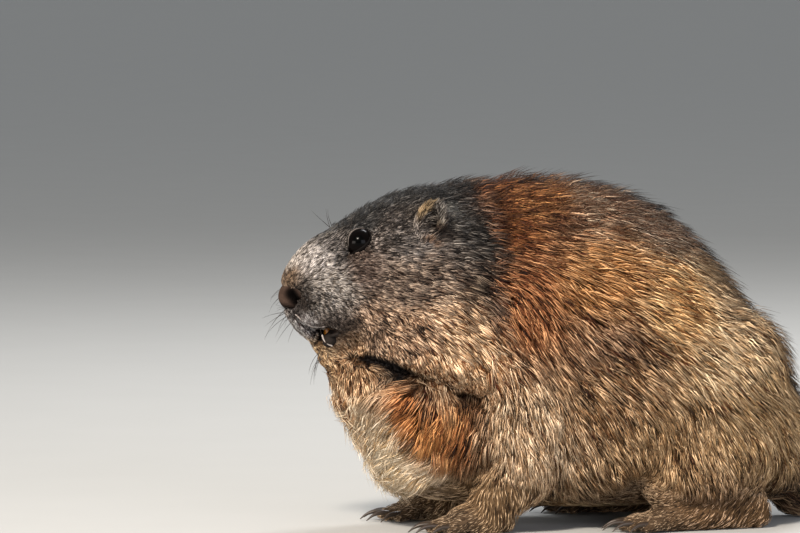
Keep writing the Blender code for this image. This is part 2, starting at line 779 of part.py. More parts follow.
def make_foot(name, side, sole, foot, collection, cutters):
    """A foot with its toes and claws, flat on the floor, up to the ankle."""
    made = limb_loft(name, sole, collection, side, per_span=1, around=10)
    pieces = named_collection(name + "_pieces")
    base, radius, toes = Vector(foot["base"]), foot["radius"], foot["toes"]
    for k, (fan, length) in enumerate(toes):
        turn = math.radians(fan)
        ahead = Vector((math.sin(turn), -math.cos(turn), 0))
        start = base + Vector(((k - (len(toes) - 1) / 2) * foot["spread"], 0, 0))
        rows = []
        root_reach, root_size = TOE_ROOT
        reaches = [(-root_reach, 0, root_size)]
        reaches += [(share * length, lift, size) for share, lift, size in TOE_ROWS]
        for reach, lift, size in reaches:
            middle = start + ahead * reach
            rows.append((middle.x, middle.y, middle.z + lift, radius * size, radius * size))
        limb_loft("toe", rows, pieces, side, per_span=1, around=6)
        tip = start + ahead * (length + radius * 0.5)
        nail = [tip + ahead * reach + Vector((0, 0, lift)) for reach, lift, _ in CLAW_BENDS]
        nail = [Vector((side * p.x, p.y, p.z)) for p in nail]
        tube("claw", nail, CLAW_RADIUS, pieces, taper=[size for _, _, size in CLAW_BENDS])
    boolean(made, "UNION", pieces)
    empty_collection(pieces)
    room = block("foot_room", (-REACH, -REACH, 0), (REACH, REACH, ANKLE - GAP), cutters)
    boolean(made, "INTERSECT", room)
    bpy.data.objects.remove(room)


def part_body(body, parts, cutters):
    """Parts the whole body into head, neck, tail and legs. What is left is the torso. It returns the head."""
    head = carve(body, "head", lambda grow: prism("head_room", HEAD_CUT, cutters, grow), parts)
    carve(body, "neck", lambda grow: prism("neck_room", NECK_CUT, cutters, grow), parts)
    carve(body, "tail", lambda grow: limb_loft("tail_room", TAIL, cutters, 1, 1, 10, TAIL_ROOM + grow), parts)
    for side_name, side in SIDES.items():
        legs = (side * LEG_INNER, side * REACH)
        upper, lower, thigh = ((kind + side_name) for kind in ("upper_foreleg_", "lower_foreleg_", "thigh_"))
        fore = carve(body, upper, lambda grow: prism("leg_room", FORELEG_CUT, cutters, grow, legs), parts)
        carve(fore, lower, lambda grow: prism("shin_room", SHIN_CUT, cutters, grow), parts)
        carve(body, thigh, lambda grow: prism("thigh_room", THIGH_CUT, cutters, grow, legs), parts)
        for name in (lower, thigh):
            below = block("foot_room", (-REACH, -REACH, -REACH), (REACH, REACH, ANKLE), cutters)
            cut(bpy.data.objects[name], below)
        for low, high in FOOT_ROOMS:
            corners = np.sort([[side * low[0], *low[1:]], [side * high[0], *high[1:]]], axis=0)
            cut(body, block("foot_room", *corners, cutters))
    body.name = "torso"
    return head


def finish_head(head, parts, cutters):
    """Opens the mouth, the nostrils and the eyes' sockets, and parts the jaw and the nose from the head."""
    cut(head, prism("mouth_gap", MOUTH_GAP, cutters, across=(-MOUTH_HALF, MOUTH_HALF)))

    def nose_room(grow):
        """The ball that takes in the nose."""
        return ball("nose_room", NOSE_CENTRE, [half + grow for half in NOSE_HALF], cutters, 18, 12)

    nose = carve(head, "nose", nose_room, parts)
    for side_name, side in SIDES.items():
        turn = Matrix.Rotation(math.radians(side * NOSTRIL_TURN), 4, "Y")
        centre = (side * NOSTRIL_CENTRE[0], *NOSTRIL_CENTRE[1:])
        cut(nose, ball("nostril", centre, NOSTRIL_HALF, cutters, 10, 6, turn))
        centre = (side * EYE_CENTRE[0], *EYE_CENTRE[1:])
        cut(head, ball("socket", centre, [EYE_RADIUS + GAP] * 3, cutters, 16, 10))
        ball("eye_" + side_name, centre, [EYE_RADIUS] * 3, parts, 12, 10)
    cut(nose, tube("philtrum", PHILTRUM, PHILTRUM_RADIUS, cutters))
    cut(head, tube("philtrum", PHILTRUM, PHILTRUM_RADIUS, cutters))
    carve(head, "jaw", lambda grow: prism("jaw_room", JAW_CUT, cutters, grow, (-JAW_HALF, JAW_HALF)), parts)
    teeth = limb_loft("incisors", INCISOR, parts, 1, per_span=2, around=8)
    cut(teeth, limb_loft("tooth", INCISOR, cutters, -1, per_span=2, around=8), "UNION")
    cut(teeth, block("root_room", *TOOTH_ROOM, cutters))
    for side_name, side in SIDES.items():
        make_ear(side_name, side, head, parts, cutters)


def finish(obj, colour, roughness):
    """Gives an object its colour, as sRGB hex, and its roughness."""
    material = bpy.data.materials.new(obj.name + "_surface")
    material.use_nodes = True
    shader = material.node_tree.nodes["Principled BSDF"]
    levels = [int(colour[i : i + 2], 16) / 255 for i in (0, 2, 4)]
    linear = [v / 12.92 if v <= 0.04045 else ((v + 0.055) / 1.055) ** 2.4 for v in levels]
    shader.inputs["Base Color"].default_value = (*linear, 1)
    shader.inputs["Roughness"].default_value = roughness
    shader.inputs["Metallic"].default_value = 0.0
    obj.data.materials.clear()
    obj.data.materials.append(material)


def part_touching(obj):
    """Draws corners that meet another stretch of the same surface apart, each into its own side."""
    bm = bmesh.new()
    bm.from_mesh(obj.data)
    places = {}
    for vertex in bm.verts:
        places.setdefault(tuple(round(c / MM, 3) for c in vertex.co), []).append(vertex)
    for vertices in places.values():
        for vertex in vertices if len(vertices) > 1 else []:
            vertex.co -= vertex.normal * TOUCH_APART * MM
    bm.to_mesh(obj.data)
    bm.free()


def centre_on_floor(collection):
    """Moves all parts so that the origin is under the middle of the whole, on the floor."""
    points = np.array([v.co for obj in collection.objects for v in obj.data.vertices])
    low, high = points.min(axis=0), points.max(axis=0)
    shift = Matrix.Translation((-(low[0] + high[0]) / 2, -(low[1] + high[1]) / 2, -low[2]))
    for obj in collection.objects:
        obj.data.transform(shift)


def main():
    """Builds the marmot, from the whole body to its parts."""
    for obj in list(bpy.data.objects):
        bpy.data.objects.remove(obj)
    parts = named_collection("marmot")
    cutters = named_collection("cutters", hidden=True)
    body = body_shape(parts)
    add_forms(body)
    above_floor = block("above_floor", (-2 * REACH, -2 * REACH, 0), (2 * REACH, 2 * REACH, 2 * REACH), cutters)
    cut(body, above_floor, "INTERSECT")
    head = part_body(body, parts, cutters)
    finish_head(head, parts, cutters)
    for side_name, side in SIDES.items():
        make_foot("forepaw_" + side_name, side, FORE_SOLE, FORE_TOES, parts, cutters)
        make_foot("hindfoot_" + side_name, side, HIND_SOLE, HIND_TOES, parts, cutters)
    bpy.data.collections.remove(cutters)
    for obj in parts.objects:
        part_touching(obj)
    centre_on_floor(parts)
    for obj in parts.objects:
        colour, roughness = next(FINISHES[kind] for kind in FINISHES if kind in obj.name)
        finish(obj, colour, roughness)


main()
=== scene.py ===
"""A life-size alpine marmot, hunched on all fours: skin, coat, eyes, nose, mouth, claws and whiskers.

The animal faces -Y, its left side is +X and it stands on Z = 0. Shapes are worked out in millimetres, in the
frame that the body was drawn in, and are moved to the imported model's frame when their meshes are made.
"""

import logging
import math
from collections.abc import Callable, Sequence
from dataclasses import dataclass, field, replace
from enum import Enum

import bmesh
import bpy
import numpy as np
from bpy.types import Material, Mesh, Node, NodeSocket, NodeTree, Object
from mathutils import Matrix, Vector
from mathutils.bvhtree import BVHTree
from mathutils.kdtree import KDTree


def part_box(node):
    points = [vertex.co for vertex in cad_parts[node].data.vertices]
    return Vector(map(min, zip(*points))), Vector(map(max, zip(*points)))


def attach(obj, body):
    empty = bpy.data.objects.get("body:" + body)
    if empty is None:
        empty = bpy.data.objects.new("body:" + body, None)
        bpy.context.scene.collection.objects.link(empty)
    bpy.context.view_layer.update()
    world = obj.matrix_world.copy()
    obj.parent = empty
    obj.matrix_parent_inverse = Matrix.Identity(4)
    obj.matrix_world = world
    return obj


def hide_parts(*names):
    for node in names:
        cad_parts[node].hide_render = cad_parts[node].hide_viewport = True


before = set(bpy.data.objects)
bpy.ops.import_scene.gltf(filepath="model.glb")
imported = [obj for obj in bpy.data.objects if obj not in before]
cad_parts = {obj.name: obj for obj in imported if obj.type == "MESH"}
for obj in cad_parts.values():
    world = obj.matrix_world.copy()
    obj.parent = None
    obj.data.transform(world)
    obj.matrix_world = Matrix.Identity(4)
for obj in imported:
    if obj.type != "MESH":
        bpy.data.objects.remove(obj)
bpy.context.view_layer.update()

LOG = logging.getLogger("marmot")
Array = np.ndarray
Point = tuple[float, float, float]
Pairs = tuple[tuple[float, float], ...]
Rows = tuple[tuple[float, ...], ...]

MM = 0.001
# The left eye's centre in the frame that the body was drawn in.
EYE_CENTRE = (19.2, -133.2, 171.2)
# The unwrap's name, the attribute with a piece's painted colours, and the body that every piece rides on.
UNWRAP = "OFBake"
COLOUR = "coat_colour"
BODY = "root"
# Stands for a distance without limit, in millimetres.
FAR = 1e3


class Side(Enum):
    """The animal's two sides, as the sign of x."""

    LEFT = 1
    RIGHT = -1

    @property
    def word(self) -> str:
        """The side's name in a piece's name."""
        return self.name.lower()

    def place(self, point: Sequence[float]) -> Array:
        """A left-side point on this side."""
        return np.array((self.value * point[0], point[1], point[2]), float)


def packed_shift() -> Array:
    """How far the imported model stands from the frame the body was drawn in.

    Returns:
        The move in metres, found from the left eye.
    """
    low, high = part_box("eye_left")
    return np.array((low + high) / 2) - np.array(EYE_CENTRE) * MM


SHIFT = packed_shift()


def linear(code: str) -> Array:
    """An sRGB hex colour as linear red, green and blue."""
    levels = np.array([int(code[i : i + 2], 16) / 255 for i in (0, 2, 4)])
    return np.where(levels <= 0.04045, levels / 12.92, ((levels + 0.055) / 1.055) ** 2.4)


def ramp(value: Array | float, low: float, high: float) -> Array:
    """0 below low, 1 above high and a smooth rise between."""
    t = np.clip((np.asarray(value, float) - low) / (high - low), 0, 1)
    return t * t * (3 - 2 * t)


def unit(vectors: Array) -> Array:
    """Vectors at length 1."""
    return vectors / (np.linalg.norm(vectors, axis=-1, keepdims=True) + 1e-12)


def smooth_rows(stations: Sequence[Sequence[float]], per_span: int, closed: bool = False) -> Array:
    """Joins stations with a centripetal Catmull-Rom curve.

    Args:
        stations: Rows of numbers, such as a place and its sizes.
        per_span: Rows made for each span.
        closed: Whether the last station runs on into the first.

    Returns:
        The rows of the curve, with the last station where it is open.
    """
    points = np.array(stations, float)
    if closed:
        p = np.vstack([points[-1], points, points[:2]])
    else:
        p = np.vstack([2 * points[0] - points[1], points, 2 * points[-1] - points[-2]])
    rows = []
    for i in range(1, len(p) - 2):
        t = [0.0]
        for a, b in zip(p[i - 1 : i + 2], p[i : i + 3]):
            t.append(t[-1] + max(np.linalg.norm(b - a), 1e-6) ** 0.5)
        for k in range(per_span):
            s = t[1] + (t[2] - t[1]) * k / per_span
            a1 = ((t[1] - s) * p[i - 1] + (s - t[0]) * p[i]) / (t[1] - t[0])
            a2 = ((t[2] - s) * p[i] + (s - t[1]) * p[i + 1]) / (t[2] - t[1])
            a3 = ((t[3] - s) * p[i + 1] + (s - t[2]) * p[i + 2]) / (t[3] - t[2])
            b1 = ((t[2] - s) * a1 + (s - t[0]) * a2) / (t[2] - t[0])
            b2 = ((t[3] - s) * a2 + (s - t[1]) * a3) / (t[3] - t[1])
            rows.append(((t[2] - s) * b1 + (s - t[1]) * b2) / (t[2] - t[1]))
    if not closed:
        rows.append(points[-1])
    return np.array(rows)


def line_distance(points: Array, line: Sequence[Point]) -> Array:
    """Distance of each point from a broken line.

    Args:
        points: The points.
        line: The line's corners.

    Returns:
        One distance for each point.
    """
    best = np.full(len(points), np.inf)
    corners = np.array(line, float)
    for a, b in zip(corners, corners[1:]):
        along = b - a
        t = np.clip((points - a) @ along / (along @ along), 0, 1)
        best = np.minimum(best, np.linalg.norm(points - a - t[:, None] * along, axis=1))
    return best


@dataclass(frozen=True)
class Mottle:
    """Smooth random shades in space, from -1 to 1."""

    seed: int
    scale: float

    def at(self, points: Array) -> Array:
        """The shade at each point, in a lattice with cells scale millimetres wide.

        Args:
            points: The points.

        Returns:
            One shade for each point.
        """
        # Cells along each edge of the lattice, which then repeats.
        size = 32
        table = np.random.default_rng(self.seed).uniform(-1, 1, (size, size, size))
        cell = points / self.scale
        base = np.floor(cell).astype(int)
        part = cell - base
        part = part * part * (3 - 2 * part)
        total = np.zeros(len(points))
        for corner in np.ndindex(2, 2, 2):
            weight = np.prod(np.where(np.array(corner, bool), part, 1 - part), axis=1)
            total += weight * table[tuple(((base + np.array(corner)) % size).T)]
        return total


class Draft:
    """A closed mesh drawn in millimetres, from rings of points."""

    def __init__(self) -> None:
        """Starts with nothing drawn."""
        self.points: list[Sequence[float]] = []
        self.faces: list[list[int]] = []

    def rings(self, rings: Sequence[Sequence[Sequence[float]]], closed: bool = False) -> None:
        """Adds faces between successive rings of points. A ring of one point is a pole.

        Args:
            rings: The rings, each with its points in order.
            closed: Whether the last ring joins the first.
        """
        starts = []
        for ring in rings:
            starts.append(len(self.points))
            self.points.extend(ring)
        order = list(range(len(rings)))
        for a, b in zip(order, order[1:] + (order[:1] if closed else [])):
            first, second = len(rings[a]), len(rings[b])
            for i in range(max(first, second)):
                j = i + 1
                near = [starts[a] + i % first, starts[a] + j % first]
                far = [starts[b] + j % second, starts[b] + i % second]
                self.faces.append(list(dict.fromkeys(near + far)))

    def ball(self, centre: Sequence[float], half: Sequence[float], around: int = 20, rows: int = 12) -> None:
        """Adds an ellipsoid.

        Args:
            centre: Its centre.
            half: Its half axes.
            around: Points round its widest ring.
            rows: Rows of faces from pole to pole.
        """
        rings = []
        for i in range(rows + 1):
            rise = math.pi * (i / rows - 0.5)
            count = 1 if i in (0, rows) else around
            turns = np.arange(count) * 2 * math.pi / around
            slope = math.tan(rise) if count > 1 else 0
            flat = np.stack([np.cos(turns), np.sin(turns), np.full(count, slope)], 1)
            ring = flat * math.cos(rise) if count > 1 else np.array([[0, 0, math.sin(rise)]])
            rings.append(ring * np.array(half) + np.array(centre))
        self.rings(rings)

    def mesh(self, name: str, shift: Array | None = None) -> Mesh:
        """The drawn faces as a mesh in metres, turned outwards.

        Args:
            name: The mesh's name.
            shift: Where the drawing's origin goes, in metres.

        Returns:
            The new mesh.
        """
        made = bpy.data.meshes.new(name)
        points = np.array(self.points, float) * MM + (np.zeros(3) if shift is None else shift)
        made.from_pydata(points.tolist(), [], self.faces)
        turn_outwards(made)
        return made


def link(name: str, mesh: Mesh) -> Object:
    """Puts an object of a mesh in the scene.

    Args:
        name: The object's name.
        mesh: Its mesh.

    Returns:
        The new object.
    """
    made = bpy.data.objects.new(name, mesh)
    bpy.context.scene.collection.objects.link(made)
    return made


def plain_mesh(obj: Object) -> Mesh:
    """Turns an object and its modifiers into a mesh.

    Args:
        obj: The object, which is removed.

    Returns:
        The mesh, with the object's name.
    """
    bpy.context.view_layer.update()
    graph = bpy.context.evaluated_depsgraph_get()
    made = bpy.data.meshes.new_from_object(obj.evaluated_get(graph))
    name = obj.name
    bpy.data.objects.remove(obj)
    made.name = name
    return made


def mesh_points(mesh: Mesh) -> Array:
    """Reads where a mesh's points lie.

    Args:
        mesh: The mesh.

    Returns:
        One row for each point.
    """
    flat = np.empty(len(mesh.vertices) * 3, np.float32)
    mesh.vertices.foreach_get("co", flat)
    return flat.reshape(-1, 3).astype(float)


def mesh_normals(mesh: Mesh) -> Array:
    """Reads a mesh's smooth normals.

    Args:
        mesh: The mesh.

    Returns:
        One row for each point.
    """
    flat = np.empty(len(mesh.vertices) * 3, np.float32)
    mesh.vertex_normals.foreach_get("vector", flat)
    return flat.reshape(-1, 3).astype(float)


def turn_outwards(mesh: Mesh) -> None:
    """Turns a closed mesh's faces outwards.

    Args:
        mesh: The mesh, which is changed.
    """
    bm = bmesh.new()
    bm.from_mesh(mesh)
    bmesh.ops.recalc_face_normals(bm, faces=bm.faces)
    bm.to_mesh(mesh)
    bm.free()


def finish_piece(obj: Object, finish: "Finish") -> Object:
    """Dresses a piece and makes it ride on the body.

    Args:
        obj: The piece, with its place in its mesh.
        finish: The piece's finish.

    Returns:
        The piece.
    """
    obj.data.materials.clear()
    obj.data.materials.append(finish.material())
    obj.data.polygons.foreach_set("use_smooth", [True] * len(obj.data.polygons))
    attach(obj, BODY)
    LOG.info("%s: %d faces", obj.name, len(obj.data.polygons))
    return obj


# Finishes


def add_node(tree: NodeTree, kind: str, settings: dict | None = None, inputs: dict | None = None) -> Node:
    """Adds a node with its settings and links.

    Args:
        tree: The material's or geometry's node tree.
        kind: Blender's name for the kind of node.
        settings: Properties of the node itself.
        inputs: Values for its sockets, by name or number. A socket of another node is linked.

    Returns:
        The new node.
    """
    made = tree.nodes.new(kind)
    for key, value in (settings or {}).items():
        setattr(made, key, value)
    for key, value in (inputs or {}).items():
        if isinstance(value, NodeSocket):
            tree.links.new(value, made.inputs[key])
        else:
            made.inputs[key].default_value = value
    return made


@dataclass(frozen=True)
class Finish:
    """What every finish has: a name, a roughness and how strongly it reflects."""

    name: str
    roughness: float = 0.6
    specular: float = 0.5

    def material(self) -> Material:
        """Makes the finish's material, once.

        Returns:
            The material.
        """
        made = bpy.data.materials.get(self.name)
        if made is None:
            made = bpy.data.materials.new(self.name)
            made.use_nodes = True
            tree = made.node_tree
            shader = tree.nodes["Principled BSDF"]
            shader.inputs["Roughness"].default_value = self.roughness
            shader.inputs["Specular IOR Level"].default_value = self.specular
            self.dress(tree, shader)
        return made

    def dress(self, tree: NodeTree, shader: Node) -> None:
        """Adds what sets the finish apart."""

    def speckle(self, tree: NodeTree, size_mm: float, detail: float = 2.0) -> Node:
        """Adds a noise with grains of a real size, in object space.

        Args:
            tree: The material's node tree.
            size_mm: The grains' size.
            detail: How many finer noises are laid over it.

        Returns:
            The noise's node.
        """
        place = add_node(tree, "ShaderNodeTexCoord")
        return add_node(
            tree,
            "ShaderNodeTexNoise",
            inputs={"Vector": place.outputs["Object"], "Scale": 1 / (size_mm * MM), "Detail": detail},
        )

    def between(self, tree: NodeTree, factor: NodeSocket, low: object, high: object) -> NodeSocket:
        """Mixes two colours, each of them a socket or linear red, green and blue.

        Args:
            tree: The material's node tree.
            factor: How far the mix goes from the low colour to the high one.
            low: The colour at 0.
            high: The colour at 1.

        Returns:
            The mixed colour.
        """
        ends = [v if isinstance(v, NodeSocket) else (*v, 1) for v in (low, high)]
        mix = add_node(tree, "ShaderNodeMix", {"data_type": "RGBA"}, {0: factor, 6: ends[0], 7: ends[1]})
        return mix.outputs[2]

    def grain(self, tree: NodeTree, shader: Node, height: NodeSocket, mm: float) -> None:
        """Raises the surface by a height, up to so many millimetres."""
        bump = add_node(tree, "ShaderNodeBump", inputs={"Distance": mm * MM, "Height": height})
        tree.links.new(bump.outputs["Normal"], shader.inputs["Normal"])


@dataclass(frozen=True)
class HairFinish(Finish):
    """Guard hair and underfur: matt keratin, its colour banded along each tuft, with fine streaks."""

    streak_mm: float = 1.1
    uneven: float = 0.2

    def dress(self, tree: NodeTree, shader: Node) -> None:
        """Colours the tufts from their own attribute, a little uneven.

        Args:
            tree: The material's node tree.
            shader: Its shader.
        """
        colour = add_node(tree, "ShaderNodeAttribute", {"attribute_name": COLOUR})
        noise = self.speckle(tree, self.streak_mm)
        levels = {"Value": noise.outputs[0], "To Min": 1 - self.uneven, "To Max": 1 + self.uneven}
        spread = add_node(tree, "ShaderNodeMapRange", inputs=levels)
        grey = add_node(tree, "ShaderNodeCombineColor", inputs={i: spread.outputs[0] for i in range(3)})
        whole = add_node(
            tree,
            "ShaderNodeMix",
            {"data_type": "RGBA", "blend_type": "MULTIPLY"},
            {0: 1.0, 6: colour.outputs["Color"], 7: grey.outputs[0]},
        )
        tree.links.new(whole.outputs[2], shader.inputs["Base Color"])


@dataclass(frozen=True)
class PeltFinish(HairFinish):
    """Skin under the coat, felted with underfur, so it is darker than the tufts and without gloss."""

    felt_mm: float = 0.9
    relief_mm: float = 0.6

    def dress(self, tree: NodeTree, shader: Node) -> None:
        """Adds the felt's relief to the markings.

        Args:
            tree: The material's node tree.
            shader: Its shader.
        """
        super().dress(tree, shader)
        felt = self.speckle(tree, self.felt_mm, 4.0)
        self.grain(tree, shader, felt.outputs[0], self.relief_mm)


@dataclass(frozen=True)
class LeatherFinish(Finish):
    """Bare, moist skin of the nose, lips and lids: dark, with fine pebbles."""

    dark: str = "14100e"
    light: str = "3a2f2a"
    pebble_mm: float = 0.7
    relief_mm: float = 0.15

    def dress(self, tree: NodeTree, shader: Node) -> None:
        """Colours by a soft noise and raises the pebbles.

        Args:
            tree: The material's node tree.
            shader: Its shader.
        """
        noise = self.speckle(tree, 4 * self.pebble_mm)
        colour = self.between(tree, noise.outputs[0], linear(self.dark), linear(self.light))
        tree.links.new(colour, shader.inputs["Base Color"])
        place = add_node(tree, "ShaderNodeTexCoord")
        pebbles = add_node(
            tree,
            "ShaderNodeTexVoronoi",
            inputs={"Vector": place.outputs["Object"], "Scale": 1 / (self.pebble_mm * MM)},
        )
        self.grain(tree, shader, pebbles.outputs["Distance"], self.relief_mm)


@dataclass(frozen=True)
class PaintedLeather(LeatherFinish):
    """The nose's bare skin: dull brown in front, going over to black round the nostrils, finely pebbled."""

    def dress(self, tree: NodeTree, shader: Node) -> None:
        """Puts the painted colours over the pebbles.

        Args:
            tree: The material's node tree.
            shader: Its shader.
        """
        super().dress(tree, shader)
        colour = add_node(tree, "ShaderNodeAttribute", {"attribute_name": COLOUR})
        tree.links.new(colour.outputs["Color"], shader.inputs["Base Color"])


@dataclass(frozen=True)
class EyeFinish(Finish):
    """A wet, dark eye: near-black pupil, deep brown iris with fine spokes, and the clear cornea's gloss."""

    pupil: str = "010101"
    iris: str = "080403"
    spoke_mm: float = 0.5
    # Angles from the eye's axis between which the pupil goes over to the iris.
    pupil_edge: tuple[float, float] = (0.32, 0.42)
    wet: float = 0.14
    wet_roughness: float = 0.03
    wet_ior: float = 1.3

    def dress(self, tree: NodeTree, shader: Node) -> None:
        """Mixes the pupil and the iris by the attribute that measures from the eye's axis.

        Args:
            tree: The material's node tree.
            shader: Its shader.
        """
        ring = add_node(tree, "ShaderNodeAttribute", {"attribute_name": "off_axis"})
        noise = self.speckle(tree, self.spoke_mm)
        lighter = self.between(tree, noise.outputs[0], linear(self.pupil), linear(self.iris))
        inner, outer = self.pupil_edge
        angles = {"Value": ring.outputs["Fac"], "From Min": inner, "From Max": outer}
        edge = add_node(tree, "ShaderNodeMapRange", inputs=angles)
        colour = self.between(tree, edge.outputs[0], linear(self.pupil), lighter)
        tree.links.new(colour, shader.inputs["Base Color"])
        shader.inputs["Coat Weight"].default_value = self.wet
        shader.inputs["Coat Roughness"].default_value = self.wet_roughness
        shader.inputs["Coat IOR"].default_value = self.wet_ior


@dataclass(frozen=True)
class EnamelFinish(Finish):
    """A rodent's incisor: iron-orange enamel, stained darker in fine upright streaks."""

    deep: str = "7a4310"
    bright: str = "d28a2e"
    streak_mm: float = 0.8
    streak_drawn: float = 0.2
    wet: float = 0.4

    def dress(self, tree: NodeTree, shader: Node) -> None:
        """Streaks the enamel and gives it a wet coat.

        Args:
            tree: The material's node tree.
            shader: Its shader.
        """
        place = add_node(tree, "ShaderNodeTexCoord")
        upright = {"Vector": place.outputs["Object"], "Scale": (1.0, 1.0, self.streak_drawn)}
        drawn = add_node(tree, "ShaderNodeMapping", inputs=upright)
        grains = {"Vector": drawn.outputs[0], "Scale": 1 / (self.streak_mm * MM)}
        noise = add_node(tree, "ShaderNodeTexNoise", inputs=grains)
        colour = self.between(tree, noise.outputs[0], linear(self.deep), linear(self.bright))
        tree.links.new(colour, shader.inputs["Base Color"])
        shader.inputs["Coat Weight"].default_value = self.wet


@dataclass(frozen=True)
class HornFinish(Finish):
    """Claw horn and whisker keratin: dark brown, with faint growth lines along it."""

    dark: str = "120d0a"
    light: str = "43362b"
    line_mm: float = 0.6

    def dress(self, tree: NodeTree, shader: Node) -> None:
        """Colours the horn by fine lines.

        Args:
            tree: The material's node tree.
            shader: Its shader.
        """
        noise = self.speckle(tree, self.line_mm, 3.0)
        colour = self.between(tree, noise.outputs[0], linear(self.dark), linear(self.light))
        tree.links.new(colour, shader.inputs["Base Color"])


@dataclass(frozen=True)
class PaperFinish(Finish):
    """Seamless studio paper, pale and matt, with a faint tooth."""

    colour: str = "b6b7b6"
    tooth_mm: float = 1.5
    relief_mm: float = 0.05
    cloud_mm: float = 90.0
    cloud_level: float = 0.96

    def dress(self, tree: NodeTree, shader: Node) -> None:
        """Tints the paper very slightly unevenly.

        Args:
            tree: The material's node tree.
            shader: Its shader.
        """
        base = linear(self.colour)
        noise = self.speckle(tree, self.cloud_mm)
        colour = self.between(tree, noise.outputs[0], base * self.cloud_level, base)
        tree.links.new(colour, shader.inputs["Base Color"])
        self.grain(tree, shader, self.speckle(tree, self.tooth_mm).outputs[0], self.relief_mm)


# Nearly matt hair, each tuft in its own shade.
HAIR = HairFinish("keratin_hair", roughness=0.6, specular=0.2)
# Dull, dark felt between the tufts.
PELT = PeltFinish("felted_pelt", roughness=0.9, specular=0.15)
# Dull, soft skin without shine.
NOSE_LEATHER = PaintedLeather(
    "pebbled_nose_skin", roughness=0.95, specular=0.02, pebble_mm=0.9, relief_mm=0.4
)
# Near-black skin with a weak, broad shine.
LIP_LEATHER = LeatherFinish(
    "lip_leather", roughness=0.75, specular=0.12, dark="100d0b", light="2a2421", pebble_mm=0.9
)
# Pale grey skin, a little moist.
LIP_RIM = LeatherFinish(
    "pale_lip_rim", roughness=0.6, specular=0.2, dark="7a716c", light="b5aca6", pebble_mm=0.5
)
# Almost black, reddish and dull: painted shade inside the mouth.
MOUTH_SHADE_LINING = LeatherFinish(
    "dark_mouth_lining", roughness=0.9, specular=0.05, dark="060303", light="120a0a", pebble_mm=0.8
)
# Black, dull skin round the eye.
LID_RIM = LeatherFinish(
    "lid_margin", roughness=0.7, specular=0.08, dark="050404", light="0f0b09", pebble_mm=0.6
)
# A grey-brown thread along the upper lid.
LID_EDGE = LeatherFinish(
    "pale_lid_edge", roughness=0.7, specular=0.1, dark="4e4742", light="877e77", pebble_mm=0.5
)
# Almost black, with small sharp lights.
EYE = EyeFinish("wet_eye", roughness=0.2, specular=0.03)
# Warm orange, glossy and faintly streaked.
ENAMEL = EnamelFinish("orange_enamel", roughness=0.3)
# Dark brown and slightly polished by wear.
CLAW_HORN = HornFinish("brown_claw_keratin", roughness=0.4)
# Black-brown with a silky shine.
WHISKER = HornFinish("whisker_keratin", roughness=0.35, dark="0b0807", light="2b221c")
# Pale grey and matt.
PAPER = PaperFinish("studio_paper", roughness=0.9, specular=0.2)


# Markings and lie of the coat


@dataclass(frozen=True)
class Tone:
    """The colour of the coat at one place of the left side: its middle shade, its depths and its lights.

    black is the share of tufts there with black tips, and reach how far the tone holds, in millimetres.
    """

    place: Point
    middle: str
    deep: str
    light: str
    black: float = 0.0
    reach: float = 18.0


@dataclass(frozen=True)
class Spot:
    """A small marking laid over the tones."""

    line: tuple[Point, ...]
    radius: float
    colour: str
    strength: float


@dataclass(frozen=True)
class Groom:
    """How the coat grows at one place of the left side: the way it lies, and its size in millimetres."""

    place: Point
    lie: Point
    length: float
    stand: float
    width: float


